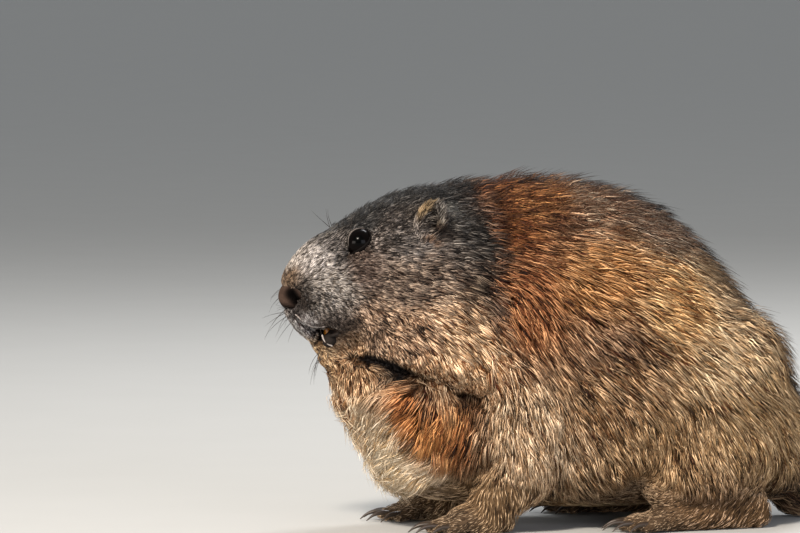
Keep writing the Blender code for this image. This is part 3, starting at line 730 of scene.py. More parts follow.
TONES = (
    Tone((15, -131, 186), "33312f", "121110", "6c6966", 0.35, 13),
    Tone((0, -146, 180), "37332f", "131110", "6c6762", 0.3, 16),
    Tone((4, -108, 202), "32302e", "11100f", "6c6966", 0.35, 16),
    Tone((34, -121, 185), "6a5c53", "2a211c", "a8968a", 0.05, 10),
    Tone((38, -108, 181), "635850", "2a2320", "a3978d", 0.05, 11),
    Tone((16, -147, 172), "453f3b", "1c1815", "8a827d", 0.2, 15),
    Tone((14, -161, 161), "9c948d", "5c554f", "dad2cd", 0.0, 10),
    Tone((0, -169, 160), "8f867d", "574f48", "cbc2bb", 0.0, 10),
    Tone((7, -176, 149), "574536", "2a2019", "86705b", 0.0, 8),
    Tone((15, -167, 137), "211b18", "0b0807", "3d342f", 0.0, 9),
    Tone((23, -154, 142), "7e756c", "3f362f", "bab2aa", 0.1, 14),
    Tone((12, -166, 124), "787170", "443938", "b8b6b6", 0.0, 10),
    Tone((21, -150, 128), "5d524b", "2a2320", "8d837b", 0.1, 9),
    Tone((29, -134, 158), "534239", "291c14", "857469", 0.1, 13),
    Tone((37, -113, 153), "614f43", "2a1b12", "a08d7c"),
    Tone((36, -112, 172), "69605a", "2c2521", "a49b94"),
    Tone((44, -112, 118), "95745a", "3d2416", "d9ba9c"),
    Tone((53, -84, 110), "c49f7a", "7d5632", "f0d2ae"),
    Tone((50, -96, 100), "b8916c", "72492a", "eacaa6"),
    Tone((30, -130, 120), "7d6450", "38251a", "c2a78f", 0.0, 12),
    Tone((38, -92, 180), "4a3d32", "1d150f", "7d6e5a", 0.0, 7),
    Tone((33, -100, 189), "7d6b54", "463a2c", "a8997f", 0.0, 6),
    Tone((34, -92, 176), "2b1f18", "0f0906", "5d4c3e", 0.0, 6),
    Tone((20, -88, 201), "333130", "151413", "646260", 0.4, 14),
    Tone((44, -84, 184), "5d5650", "2c2825", "96918a", 0.2),
    Tone((42, -72, 174), "292420", "0e0a08", "5d5751", 0.5, 12),
    Tone((54, -74, 150), "362c26", "140d0a", "6d5f50", 0.3, 10),
    Tone((56, -68, 139), "6a594b", "2d2119", "a18d7c", 0.1, 8),
    Tone((12, -68, 205), "2a2624", "0e0c0a", "5c534d", 0.45, 11),
    Tone((40, -50, 180), "7a4526", "3f1b08", "a86f42", 0.1, 14),
    Tone((14, -50, 204), "7a4527", "3d1a09", "a86c3f", 0.25, 12),
    Tone((26, -28, 200), "935a35", "48240f", "c88d57", 0.15),
    Tone((60, -46, 138), "8e5633", "4b220c", "c28b5f"),
    Tone((32, -5, 196), "b58a6b", "59351f", "e2c6a8", 0.1),
    # Along the back's middle: partly real black tips, partly a darker stripe painted as shade on the back's
    # outline.
    Tone((0, -30, 208), "4d3425", "1c100a", "7d5a42", 0.6, 10),
    Tone((0, 10, 206), "4a3527", "1c120b", "80685a", 0.6, 12),
    Tone((35, 38, 182), "a98469", "4e3120", "dac3aa", 0.15),
    Tone((10, 45, 192), "2a1f18", "110c08", "5a4a3e", 0.85, 13),
    Tone((12, 80, 169), "281e17", "110c08", "5a4a3e", 0.9, 14),
    Tone((59, 75, 145), "b5946f", "5f4831", "e4c8a2", 0.1),
    Tone((16, 114, 120), "30251b", "150f0a", "6b5944", 0.85, 15),
    Tone((63, -3, 156), "a2703f", "5f3517", "d4a26f"),
    Tone((72, 44, 140), "cf9f68", "85582f", "f4ce98"),
    Tone((78, -2, 96), "997550", "54331a", "d4b28c"),
    Tone((80, -5, 116), "7b5a41", "442613", "b18f71"),
    Tone((79, 67, 114), "d6b48a", "8c6c49", "f7dcb4"),
    Tone((70, 95, 75), "a88960", "6b4d2f", "d3b48c"),
    Tone((78, 30, 55), "aa8760", "634629", "d6b68e"),
    Tone((20, -140, 98), "b08660", "54331c", "ecc8a0", 0.0, 14),
    Tone((12, -136, 78), "c9a988", "8a6440", "efdcc0", 0.0, 14),
    Tone((32, -122, 64), "eed9bc", "cbab82", "fff0d8", 0.0, 16),
    Tone((40, -112, 48), "fae8cc", "e6cca4", "fff4de", 0.0, 16),
    Tone((42, -100, 34), "f4e0c2", "dabd97", "fff0da", 0.0, 15),
    Tone((52, -96, 72), "a0622f", "50240c", "d69a60", 0.0, 14),
    Tone((46, -106, 84), "9c5a2a", "481e0a", "d08d54", 0.0, 11),
    Tone((58, -82, 60), "96592f", "48200b", "cc935e", 0.0, 14),
    Tone((75, -51, 66), "c6a684", "7a5c3d", "f0d6b6"),
    Tone((19, -149, 112), "4a3d34", "221914", "756556", 0.0, 9),
    Tone((8, -155, 107), "a58461", "4a3322", "dcc09a", 0.0, 7),
    Tone((0, -148, 100), "a07c58", "4c3422", "d6b68e", 0.0, 9),
    Tone((50, -70, 24), "8f7455", "57412b", "c0a27f"),
    Tone((47, -86, 8), "77624c", "3f3023", "a89279"),
    Tone((62, 60, 16), "86694b", "4a3623", "b4967a"),
    Tone((66, 30, 8), "735d47", "3c2e21", "a48d73"),
    Tone((0, 0, 12), "a78a66", "6e5538", "cdb28c"),
    Tone((2, 160, 24), "6b5039", "34241a", "9a7f62", 0.3, 20),
    Tone((14, 220, 14), "4c3a2c", "231812", "7b6652", 0.5, 24),
    Tone((36, 268, 10), "231b16", "0d0a08", "43382f", 0.6, 22),
)

SPOTS = (
    # Painted shade along the crease between the chest and the foreleg.
    Spot(((56, -78, 80), (62, -74, 62), (60, -70, 44)), 3.5, "22110a", 0.5),
    Spot(((37, -115, 150),), 3.2, "2a1e18", 0.75),
    Spot(((36, -122, 157), (40, -112, 153)), 2.0, "2f221b", 0.6),
    Spot(((28, -84, 192), (36, -80, 188)), 4.2, "bfbdb5", 0.9),
    Spot(((35, -90, 191), (38, -86, 180)), 3.2, "271c16", 0.8),
    Spot(((45, -89, 52),), 2.5, "2a1a10", 0.6),
    Spot(((33, -102, 187), (33, -95, 195)), 4.0, "8c7657", 0.85),
    Spot(((37, -97, 185), (38, -89, 175)), 3.8, "1a100b", 0.85),
    Spot(((36, -101, 178), (37, -95, 171)), 3.0, "5e4634", 0.7),
    Spot(((25, -142, 163), (22, -147, 160)), 2.6, "17100d", 0.8),
    Spot(((31, -123, 127), (31, -127, 118)), 2.8, "2b1b12", 0.7),
    Spot(((26, -140, 124), (23, -147, 116)), 6.0, "1f1714", 0.85),
    Spot(((10, -167, 130), (15, -161, 126), (20, -154, 124.5), (24, -146, 126)), 3.4, "362c27", 0.7),
    Spot(((11, -168, 131), (5, -172, 130)), 3.0, "1a1412", 0.7),
)

# The parting under the ruff, seen from the side: y and z from the throat back to the shoulder, and how deep
# it is there, which also sets how dark its painted shade is. Then how far it reaches to each side, the colour
# of the painted shade that the ruff's overhang casts there, and how far out from the throat it begins.
PARTING = (
    (-144, 112.5, 0.5),
    (-137, 109.0, 1.0),
    (-130, 106.0, 1.0),
    (-118, 101.0, 1.0),
    (-108, 96.5, 1.0),
    (-101, 93.5, 0.6),
    (-94, 90.5, 0.35),
    (-86, 87.0, 0.5),
    (-79, 84.0, 0.9),
    (-71, 81.5, 0.7),
    (-64, 80.0, 0.2),
)
PARTING_RADIUS = 7.5
RUFF_SHADE_COLOUR = "070201"
THROAT_HALF = 14.0

# Rows of whiskers on the pad: where the first stands, and how far apart they are along and across the rows.
PAD_FIRST = (17.0, -165.0, 145.5)
PAD_ALONG = (1.3, 3.6, -1.0)
PAD_ACROSS = (0.2, 0.9, -3.6)
PAD_ROWS, PAD_COLUMNS = 5, 5

GROOMS = (
    Groom((0, -177, 146), (0, 0.5, 1), 3, 0.7, 0.32),
    Groom((8, -168, 158), (0.1, 0.6, 0.8), 5, 1.0, 0.36),
    Groom((14, -158, 162), (0.15, 0.9, 0.4), 6, 1.3, 0.4),
    Groom((0, -148, 178), (0, 0.8, 0.6), 8, 1.9, 0.45),
    Groom((0, -128, 190), (0, 0.9, 0.4), 9, 2.8, 0.48),
    Groom((0, -95, 205), (0, 1, 0.15), 11, 3.8, 0.54),
    Groom((0, -62, 209), (0, 1, 0), 20, 6.0, 0.56),
    Groom((22, -156, 142), (0.2, 0.9, -0.35), 5, 1.2, 0.4),
    Groom((12, -168, 128), (0.2, 0.7, -0.7), 3.5, 0.8, 0.34),
    Groom((22, -146, 128), (0.2, 0.8, -0.6), 4, 1.0, 0.38),
    Groom((29, -134, 158), (0.2, 0.95, -0.1), 7, 1.7, 0.42),
    Groom((22, -148, 163), (0.25, 0.9, 0.25), 6, 1.4, 0.42),
    Groom((30, -124, 184), (0.2, 0.95, 0.15), 8, 2.0, 0.48),
    Groom((38, -112, 150), (0.2, 0.93, -0.25), 10, 2.5, 0.5),
    Groom((42, -104, 168), (0.15, 1, -0.05), 11, 2.8, 0.52),
    Groom((38, -82, 186), (0.2, 1, -0.1), 12, 3.4, 0.56),
    Groom((44, -112, 120), (0.2, 0.75, -0.65), 13, 3.8, 0.58),
    Groom((52, -86, 128), (0.15, 0.85, -0.55), 16, 5.0, 0.62),
    Groom((53, -84, 108), (0.2, 0.6, -0.8), 18, 6.5, 0.66),
    Groom((50, -98, 103), (0.2, 0.4, -0.9), 17, 6.5, 0.64),
    Groom((36, -125, 108), (0.2, 0.6, -0.75), 11, 4.0, 0.55),
    Groom((0, -152, 106), (0, 0.9, -0.4), 5, 1.2, 0.42),
    Groom((0, -138, 92), (0, -0.6, -0.75), 14, 6.0, 0.54),
    Groom((0, -122, 64), (0, -0.75, -0.7), 22, 9.0, 0.56),
    Groom((25, -105, 50), (0, -0.75, -0.7), 22, 9.0, 0.56),
    Groom((40, -112, 86), (0, -0.7, -0.75), 18, 7.5, 0.56),
    Groom((57, -80, 66), (0.1, -0.35, -0.95), 21, 8.0, 0.58),
    Groom((56, -68, 142), (0.1, 0.9, -0.6), 19, 6.2, 0.68),
    Groom((42, -62, 178), (0.1, 0.95, -0.3), 20, 6.5, 0.56),
    Groom((62, -48, 132), (0.1, 0.5, -0.9), 24, 7.5, 0.62),
    Groom((44, -36, 180), (0.1, 0.85, -0.5), 25, 7.5, 0.64),
    Groom((75, -50, 66), (0, 0.25, -1), 22, 6.5, 0.62),
    Groom((56, -58, 32), (0, 0.05, -1), 10, 2.6, 0.6),
    Groom((47, -82, 14), (0, -1, -0.35), 4, 1.0, 0.42),
    Groom((0, -20, 209), (0, 1, 0), 28, 8.0, 0.64),
    Groom((0, 30, 203), (0, 1, -0.12), 29, 8.5, 0.67),
    Groom((0, 85, 165), (0, 1, -0.6), 29, 8.5, 0.69),
    Groom((0, 125, 110), (0, 0.7, -0.95), 28, 8.0, 0.69),
    Groom((48, 0, 188), (0.15, 0.95, -0.35), 28, 8.0, 0.66),
    Groom((82, 0, 110), (0, 0.78, -0.72), 28, 8.0, 0.69),
    Groom((80, 42, 132), (0, 0.85, -0.62), 28, 8.0, 0.69),
    Groom((74, 85, 98), (-0.1, 0.7, -0.8), 27, 8.0, 0.69),
    Groom((55, 125, 70), (-0.35, 0.6, -0.8), 26, 7.5, 0.67),
    Groom((82, -8, 50), (0, 0.5, -0.9), 24, 7.0, 0.66),
    Groom((85, 60, 45), (0, 0.35, -0.95), 20, 5.5, 0.61),
    Groom((0, 0, 12), (0, 1, 0), 16, 3.0, 0.61),
    Groom((0, 80, 12), (0, 1, 0), 16, 3.0, 0.61),
    Groom((62, 84, 22), (0, -0.5, -0.6), 8, 2.0, 0.56),
    Groom((66, 42, 14), (0, -1, -0.25), 4, 1.0, 0.42),
    Groom((0, 150, 40), (0, 1, -0.45), 24, 5.5, 0.64),
    Groom((4, 182, 28), (0.12, 1, -0.1), 26, 5.5, 0.66),
    Groom((14, 222, 26), (0.3, 1, -0.05), 28, 5.5, 0.66),
    Groom((36, 262, 14), (0.6, 0.85, -0.05), 26, 5.0, 0.64),
)


# How softly the shares of near places go over into each other, and how fast they fall off.
SHARE_SOFTNESS = 0.12
SHARE_POWER = 2.6


def near_shares(points: Array, places: Array, reach: Array) -> Array:
    """How much each of some places counts at each point.

    Args:
        points: Where the shares are wanted, with x mirrored to the left side.
        places: The places.
        reach: How far each place holds, in millimetres.

    Returns:
        One row for each point, adding up to 1.
    """
    shares = np.empty((len(points), len(places)), np.float32)
    for i, (place, hold) in enumerate(zip(places, reach)):
        square = ((points - place) ** 2).sum(axis=1) / hold**2
        shares[:, i] = 1 / (square + SHARE_SOFTNESS) ** SHARE_POWER
    return shares / shares.sum(axis=1, keepdims=True)


def to_left(points: Array) -> Array:
    """Points mirrored to the animal's left side."""
    return np.stack([np.abs(points[:, 0]), points[:, 1], points[:, 2]], axis=1)


def parting_distance(points: Array) -> Array:
    """How far points lie, seen from the side, from the parting under the ruff.

    Args:
        points: The points.

    Returns:
        One distance for each point, made longer at the throat's middle, which has no parting.
    """
    left = to_left(points)
    away = line_distance(left * np.array((0, 1, 1)), [(0, y, z) for y, z, _ in PARTING])
    return away + np.maximum(THROAT_HALF - left[:, 0], 0)


def parting_depth(points: Array) -> Array:
    """How deep the parting is beside each point, from 0 to 1, which is also how strongly its painted shade is
    laid.
    """
    along, _, depth = np.array(PARTING).T
    return np.interp(points[:, 1], along, depth)


@dataclass
class Markings:
    """The coat's colours over the whole animal, with painted shade laid under the ruff."""

    # How far the markings wander, and between which y they wander less, down to a share, towards the nose.
    warp_mm: float = 5.0
    warps: tuple[Mottle, ...] = (Mottle(3, 19.0), Mottle(4, 19.0), Mottle(5, 19.0))
    calm_rows: tuple[float, float] = (-165.0, -110.0)
    calm_share: float = 0.25
    # Where spots and the parting's painted shade fade, as shares of their radius.
    spot_fade: tuple[float, float] = (0.4, 1.4)
    ruff_shade_fade: tuple[float, float] = (0.5, 1.5)
    # How much narrower the parting's painted shade is above its line than below it.
    ruff_covers: float = 2.5
    # How bright a laid colour is in the middle, deep and light shades.
    laid_levels: tuple[float, float, float] = (1, 0.5, 1.7)

    def creased(self, points: Array) -> Array:
        """How far points lie in the parting under the ruff, from 0 to 1."""
        return parting_depth(points) * np.exp(-((parting_distance(points) / PARTING_RADIUS) ** 2))

    def over_parting(self, points: Array) -> Array:
        """How far hair can hang from points before it covers the parting under the ruff.

        Args:
            points: Where the hair grows.

        Returns:
            One length for each point, FAR for those that don't lie above the parting.
        """
        along, height, _ = np.array(PARTING).T
        above = (points[:, 2] > np.interp(points[:, 1], along, height)) & (points[:, 1] < along[-1])
        return np.where(above, parting_distance(points), FAR)

    def shades(self, points: Array) -> tuple[Array, Array, Array, Array]:
        """The coat's colours at some points, with the painted shade under the ruff laid over them.

        Args:
            points: Places on the skin, in millimetres.

        Returns:
            The middle, deep and light colours, linear, and the share of black tips.
        """
        calm = ramp(points[:, 1], *self.calm_rows)[:, None] * (1 - self.calm_share) + self.calm_share
        moved = to_left(points + self.warp_mm * calm * np.stack([w.at(points) for w in self.warps], axis=1))
        places = np.array([t.place for t in TONES], float)
        shares = near_shares(moved, places, np.array([t.reach for t in TONES]))
        parts = ("middle", "deep", "light")
        colours = [shares @ np.array([linear(getattr(t, part)) for t in TONES]) for part in parts]
        black = shares @ np.array([t.black for t in TONES])
        exact = to_left(points)
        for spot in SPOTS:
            if len(spot.line) > 1:
                away = line_distance(exact, spot.line)
            else:
                away = np.linalg.norm(exact - np.array(spot.line[0]), axis=1)
            near, far = (share * spot.radius for share in self.spot_fade)
            cover = spot.strength * (1 - ramp(away, near, far))
            colours = self.lay(colours, cover, spot.colour)
        # Painted shade: near-black laid along the parting under the ruff, where the ruff's overhang shades
        # the chest.
        away = parting_distance(points) * np.where(self.over_parting(points) < FAR, self.ruff_covers, 1.0)
        near, far = (share * PARTING_RADIUS for share in self.ruff_shade_fade)
        cover = parting_depth(points) * (1 - ramp(away, near, far))
        return *self.lay(colours, cover, RUFF_SHADE_COLOUR), black

    def lay(self, colours: list[Array], cover: Array, code: str) -> list[Array]:
        """Lays a colour over the coat's colours.

        Args:
            colours: The middle, deep and light colours.
            cover: How much of them it covers at each point.
            code: The colour, as a hex code.

        Returns:
            The new middle, deep and light colours.
        """
        share, colour = cover[:, None], linear(code)
        levels = zip(colours, self.laid_levels)
        return [shade * (1 - share) + colour * level * share for shade, level in levels]


@dataclass
class Comb:
    """The way the hair lies and how long it is, over the whole animal."""

    # How far each groom holds, and how far from the middle line the hair begins to part to the sides.
    reach: float = 18.0
    parts_by: float = 6.0

    def at(self, points: Array, normals: Array) -> tuple[Array, Array, Array, Array]:
        """The coat's growth at some points.

        Args:
            points: Places on the skin, in millimetres.
            normals: The skin's normals there.

        Returns:
            The lie along the skin, and the length, stand and width of a tuft.
        """
        places = np.array([g.place for g in GROOMS], float)
        shares = near_shares(to_left(points), places, np.full(len(GROOMS), self.reach))
        lie = shares @ np.array([unit(np.array(g.lie, float)) for g in GROOMS])
        lie[:, 0] *= np.sign(points[:, 0]) * ramp(np.abs(points[:, 0]), 0, self.parts_by)
        lie -= normals * (lie * normals).sum(axis=1, keepdims=True)
        sizes = shares @ np.array([(g.length, g.stand, g.width) for g in GROOMS])
        return unit(lie), sizes[:, 0], sizes[:, 1], sizes[:, 2]


# Skin


@dataclass
class Surface:
    """A skin to set tufts on: corners, normals, triangles and unwrap, in millimetres."""

    points: Array
    normals: Array
    triangles: Array
    unwrap: Array

    def __post_init__(self) -> None:
        """Builds the tree that finds the nearest place on the skin."""
        self.tree = BVHTree.FromPolygons(self.points.tolist(), self.triangles.tolist())
        corners = self.points[self.triangles]
        across = np.cross(corners[:, 1] - corners[:, 0], corners[:, 2] - corners[:, 0])
        self.areas = np.linalg.norm(across, axis=1) / 2
        self.centres = corners.mean(axis=1)

    @classmethod
    def of(cls, mesh: Mesh) -> "Surface":
        """Reads a piece's mesh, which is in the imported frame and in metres.

        Args:
            mesh: The unwrapped mesh.

        Returns:
            The surface, in millimetres.
        """
        mesh.calc_loop_triangles()
        count = len(mesh.loop_triangles)
        corners, loops = np.empty(count * 3, np.int32), np.empty(count * 3, np.int32)
        mesh.loop_triangles.foreach_get("vertices", corners)
        mesh.loop_triangles.foreach_get("loops", loops)
        unwrap = np.empty(len(mesh.loops) * 2, np.float32)
        mesh.uv_layers[UNWRAP].data.foreach_get("uv", unwrap)
        points = (mesh_points(mesh) - SHIFT) / MM
        patches = unwrap.reshape(-1, 2)[loops.reshape(-1, 3)]
        return cls(points, mesh_normals(mesh), corners.reshape(-1, 3), patches)

    def scatter(self, weights: Array, count: int, draw: np.random.Generator) -> tuple[Array, Array, Array]:
        """Places spread evenly for their weight.

        Args:
            weights: How many places each triangle should get, in any unit.
            count: How many places in all.
            draw: The source of random numbers.

        Returns:
            The places, the normals and the unwrap's coordinates there.
        """
        steps = np.cumsum(weights)
        wanted = (np.arange(count) + draw.random(count)) / count * steps[-1]
        chosen = np.searchsorted(steps, wanted).clip(0, len(steps) - 1)
        a, b = draw.random(count), draw.random(count)
        a, b = np.where(a + b > 1, 1 - a, a), np.where(a + b > 1, 1 - b, b)
        mix = np.stack([1 - a - b, a, b], axis=1)[:, :, None]
        corners = self.triangles[chosen]
        return (
            (self.points[corners] * mix).sum(axis=1),
            unit((self.normals[corners] * mix).sum(axis=1)),
            (self.unwrap[chosen] * mix).sum(axis=1),
        )

    def nearest(self, points: Array) -> tuple[Array, Array]:
        """Finds the nearest places on the skin.

        Args:
            points: Where to look from.

        Returns:
            The places, and the skin's normals there.
        """
        found = [self.tree.find_nearest(p) for p in points.tolist()]
        places = np.array([tuple(f[0]) for f in found])
        faces = np.array([f[2] for f in found])
        return places, unit(self.normals[self.triangles[faces]].mean(axis=1))


@dataclass(frozen=True)
class Fold:
    """A crease or a swelling along a line on the left side, raised by rise millimetres."""

    line: tuple[Point, ...]
    radius: float
    rise: float


@dataclass
class EyeSetting:
    """Where an eye sits and how its lids open, worked out for the left side."""

    radius: float = 9.0
    looks: Point = (0.90, -0.36, 0.22)
    sunk: float = 1.9
    # How far the eye's centre stands behind and above EYE_CENTRE, and how far the lids stand off the ball.
    behind: float = 0.7
    above: float = 0.6
    lid: float = 0.9
    # How far from an eye's centre its lids are looked for, and where the distance from them begins to grow.
    sought: float = 30.0
    near: float = 12.0
    # How deep the skin lies under the ball's surface, and how far it stands over it round the lids.
    bed: float = 1.6
    ridge: float = 0.3
    # The lids' margin seen along the eye's axis: backwards and upwards from its middle.
    opening: Pairs = (
        (-6.7, -7.0),
        (-6.4, -2.8),
        (-6.1, 1.1),
        (-5.0, 4.3),
        (-2.9, 6.6),
        (-0.2, 7.8),
        (2.9, 8.0),
        (5.5, 7.3),
        (7.2, 5.7),
        (7.7, 3.0),
        (6.4, -0.4),
        (3.6, -3.2),
        (0.4, -5.1),
        (-2.9, -6.5),
    )

    def frame(self, side: Side) -> tuple[Array, Array, Array, Array]:
        """Works out where an eye sits.

        Args:
            side: The animal's side.

        Returns:
            The eye's centre and its axes: outwards, backwards and upwards.
        """
        out = unit(side.place(self.looks))
        back = np.array((0.0, 1.0, 0.0))
        back = unit(back - out * (back @ out))
        up = np.cross(out, back) * side.value
        centre = side.place(EYE_CENTRE) + self.behind * back + self.above * up - self.sunk * out
        return centre, out, back, up

    def margin(self, turns: Array) -> Array:
        """Works out how far the lids open.

        Args:
            turns: Turns round the eye's axis.

        Returns:
            The margin's angle from the axis towards each turn.
        """
        rows = smooth_rows(self.opening, 8, closed=True)
        bearing = np.arctan2(rows[:, 1], rows[:, 0])
        order = np.argsort(bearing)
        reach = np.hypot(rows[:, 0], rows[:, 1])
        flat = np.interp(turns, bearing[order], reach[order], period=2 * math.pi)
        return np.arcsin(np.clip(flat / (self.radius + self.lid), 0, 0.97))

    def beside(self, points: Array) -> Array:
        """Measures how far points on the skin lie outside the lids' margins.

        Args:
            points: The points.

        Returns:
            One distance for each point, FAR where no eye is near.
        """
        best = np.full(len(points), FAR)
        for side in Side:
            centre, out, back, up = self.frame(side)
            arm = points - centre
            far = np.linalg.norm(arm, axis=1)
            angle = np.arccos(np.clip((arm @ out) / (far + 1e-9), -1, 1))
            edge = self.margin(np.arctan2(arm @ up, arm @ back))
            outside = (angle - edge) * self.radius + np.maximum(far - self.near, 0)
            best = np.minimum(best, np.where(far < self.sought, outside, FAR))
        return best

    def point(self, side: Side, angle: Array, turns: Array, radius: Array | float) -> Array:
        """Finds points round an eye.

        Args:
            side: The animal's side.
            angle: Each point's angle from the eye's axis.
            turns: Each point's turn round the axis.
            radius: Each point's distance from the eye's centre, or one for all.

        Returns:
            One row for each point.
        """
        centre, out, back, up = self.frame(side)
        sideways = np.cos(turns)[:, None] * back + np.sin(turns)[:, None] * up
        radius = np.broadcast_to(radius, turns.shape)[:, None]
        return centre + radius * (np.cos(angle)[:, None] * out + np.sin(angle)[:, None] * sideways)


EYE_SETTING = EyeSetting()


@dataclass
class Skin:
    """The whole body's skin in one piece, under the coat, with the face's folds and the mouth's opening."""

    voxel: float = 1.6
    smoothing: int = 6
    # Upright sections of the trunk and the head: y, top, bottom, height of the widest line, half width, and
    # roundness above and below that line.
    trunk: Rows = (
        (-145, 92, 90, 91, 0, 2.0, 2.0),
        (-141, 106, 77, 91, 24, 2.0, 2.0),
        (-127, 128, 61, 90, 42, 2.0, 2.0),
        (-107, 160, 33, 86, 54, 2.0, 2.1),
        (-82, 188, 19, 84, 61, 2.0, 2.2),
        (-50, 208, 14, 86, 71, 2.0, 2.3),
        (-14, 208, 13, 88, 82, 2.0, 2.4),
        (24, 203, 12, 86, 90, 2.0, 2.4),
        (56, 190, 12, 80, 92, 2.0, 2.4),
        (86, 163, 12, 72, 88, 2.0, 2.4),
        (112, 130, 13, 62, 78, 2.0, 2.3),
        (132, 101, 15, 54, 62, 2.0, 2.2),
        (147, 76, 19, 46, 42, 2.0, 2.0),
        (154, 54, 30, 41, 19, 2.0, 2.0),
        (156, 42, 40, 41, 0, 2.0, 2.0),
    )
    head: Rows = (
        (-176.5, 142, 140, 141, 0, 2.0, 2.0),
        (-175, 149, 132, 141, 8, 2.0, 2.0),
        (-171, 158, 126, 140, 13, 2.0, 2.0),
        (-166, 165, 119, 138, 17, 2.1, 2.0),
        (-157, 173, 112, 134, 22, 2.3, 2.1),
        (-144, 180, 106, 132, 27, 2.6, 2.2),
        (-132, 187, 103, 133, 32, 2.6, 2.2),
        (-113, 198, 100, 135, 40, 2.6, 2.2),
        (-94, 205, 95, 134, 47, 2.5, 2.2),
        (-75, 208, 88, 130, 53, 2.3, 2.2),
        (-56, 209, 84, 126, 56, 2.2, 2.1),
        (-36, 203, 92, 130, 48, 2.0, 2.0),
        (-22, 184, 112, 136, 30, 2.0, 2.0),
        (-18, 149, 144, 146, 0, 2.0, 2.0),
    )
    # Oval sections of a left limb and of the tail, from the root: x, y, z, half width, half depth.
    foreleg: Rows = (
        (40, -42, 124, 22, 30),
        (53, -42, 92, 26, 31),
        (58, -40, 60, 24, 28),
        (55, -46, 37, 20, 22),
        (49, -58, 20, 15, 16),
        (47, -64, 6, 13.5, 13.5),
    )
    thigh: Rows = (
        (38, 98, 82, 24, 30),
        (52, 88, 68, 33, 42),
        (62, 72, 50, 33, 42),
        (64, 56, 38, 26, 32),
        (64, 48, 26, 18, 20),
    )
    shank: Rows = (
        (64, 56, 32, 18, 18),
        (63, 78, 24, 17, 16),
        (61, 96, 15, 15, 14),
    )
    tail: Rows = (
        (0, 132, 34, 19, 19),
        (1, 154, 21, 20, 19),
        (4, 180, 12.5, 21, 18.5),
        (10, 210, 11.5, 22, 18),
        (20, 240, 10.5, 20, 17),
        (33, 263, 9.5, 14, 13),
        (43, 276, 7, 7, 8),
    )
    fore_sole: Rows = (
        (47, -54, 9, 12, 10),
        (47, -66, 9.5, 13, 10),
        (46.5, -78, 8.5, 14, 8.5),
    )
    hind_sole: Rows = (
        (61, 102, 9, 12, 10),
        (62, 84, 9.8, 13.5, 11),
        (64, 62, 9.3, 15, 10.5),
        (66, 42, 7.6, 16.5, 8.5),
    )
    # Swellings of flesh: centre and half axes of an ellipsoid on each side.
    masses: tuple[tuple[Point, Point], ...] = (
        ((10, -156, 128), (12.5, 13, 11)),
        ((0, -149, 111), (12, 8, 7)),
        ((0, -138, 102), (18, 15, 12)),
        ((18, -127, 175), (11, 14, 8)),
        ((34, -84, 118), (25, 32, 31)),
        ((50, 78, 90), (38, 50, 48)),
        ((42, -34, 112), (34, 36, 52)),
    )
    # Side outline of the opening: along the upper lip, and back along the jaw, which ends short of that lip.
    upper_edge: Pairs = (
        (-146.0, 119.8),
        (-149, 122.2),
        (-156.5, 122.4),
        (-161.5, 122.6),
        (-165.6, 125.2),
        (-168.6, 128.8),
        (-190, 132),
    )
    # The lip's middle hangs lower, in front of the jaw.
    middle_edge: Pairs = (
        (-146.0, 119.8),
        (-150, 121),
        (-154.5, 120),
        (-156.5, 114),
        (-158, 98),
    )
    lower_edge: Pairs = (
        (-190, 90),
        (-160, 96),
        (-157, 106),
        (-154, 113.2),
        (-149, 116.6),
    )
    # The opening's half width, and that of the lip's middle, with how far the cuts run into each other.
    mouth_half: float = 28.0
    middle_half: float = 6.5
    cut_overlap: float = 0.3
    # Behind bare_from no hair grows on the mouth's walls. In front of lined_from only the walls beside its
    # middle get the painted shade.
    bare_from: float = -156.5
    lined_from: float = -158.2
    # Over the eye, under it, beside the nose, round the whisker pad, behind the eye, along the ruff, and down
    # between chest and leg.
    folds: tuple[Fold, ...] = (
        Fold(((21, -142, 180), (27, -133, 184), (32, -122, 182)), 4.5, 1.5),
        Fold(((25, -143, 161), (31, -132, 162), (35, -122, 168)), 3.0, -0.8),
        Fold(((9, -172, 139), (12, -166, 139)), 5.5, -2.8),
        Fold(((11, -168, 149), (17, -163, 143), (17, -163, 133)), 2.6, 0.8),
        Fold(((36, -122, 157), (41, -111, 152)), 2.6, -1.0),
        Fold(((36, -124, 112), (44, -112, 108), (52, -94, 102), (56, -76, 100)), 10.0, 4.5),
        Fold(((56, -80, 84), (62, -76, 62), (60, -72, 42)), 6.0, -3.0),
    )
    # For each foot: its toes' middle, how far apart and how thick they are, and each one's turn and length.
    toes: dict[str, tuple[Point, float, float, Pairs]] = field(
        default_factory=lambda: {
            "fore": ((46.5, -80, 4.4), 6.6, 4.5, ((-19, 12), (-6, 16), (6, 16), (19, 11))),
            "hind": ((66, 36, 4.7), 6.3, 4.8, ((-20, 11), (-10, 16), (0, 19), (9, 17), (20, 11))),
        }
    )
    # How deep the parting is, how much deeper the chest lies under the ruff, and how far down that fades.
    parting: float = 8.5
    under_ruff: float = 7.0
    ruff_reach: float = 17.0
    # How deep the skin lies under the coat's outline: on the face, how much more on the body, on the tail's
    # root, how much less at its tip, on the feet, and how much more at the legs' tops.
    face_depth: float = 1.2
    body_depth: float = 7.0
    tail_depth: float = 5.5
    tail_thins: float = 2.5
    foot_depth: float = 0.9
    leg_depth: float = 7.5
    # The least height of the soles' skin.
    lowest: float = 0.5
    # How much of the coat's deep and middle colours the skin has.
    deep_share: float = 0.55
    middle_share: float = 0.25
    # The near-black painted on the mouth's inner walls, as the shade inside the mouth.
    lining: str = "120b0a"
    mesh: Mesh | None = None

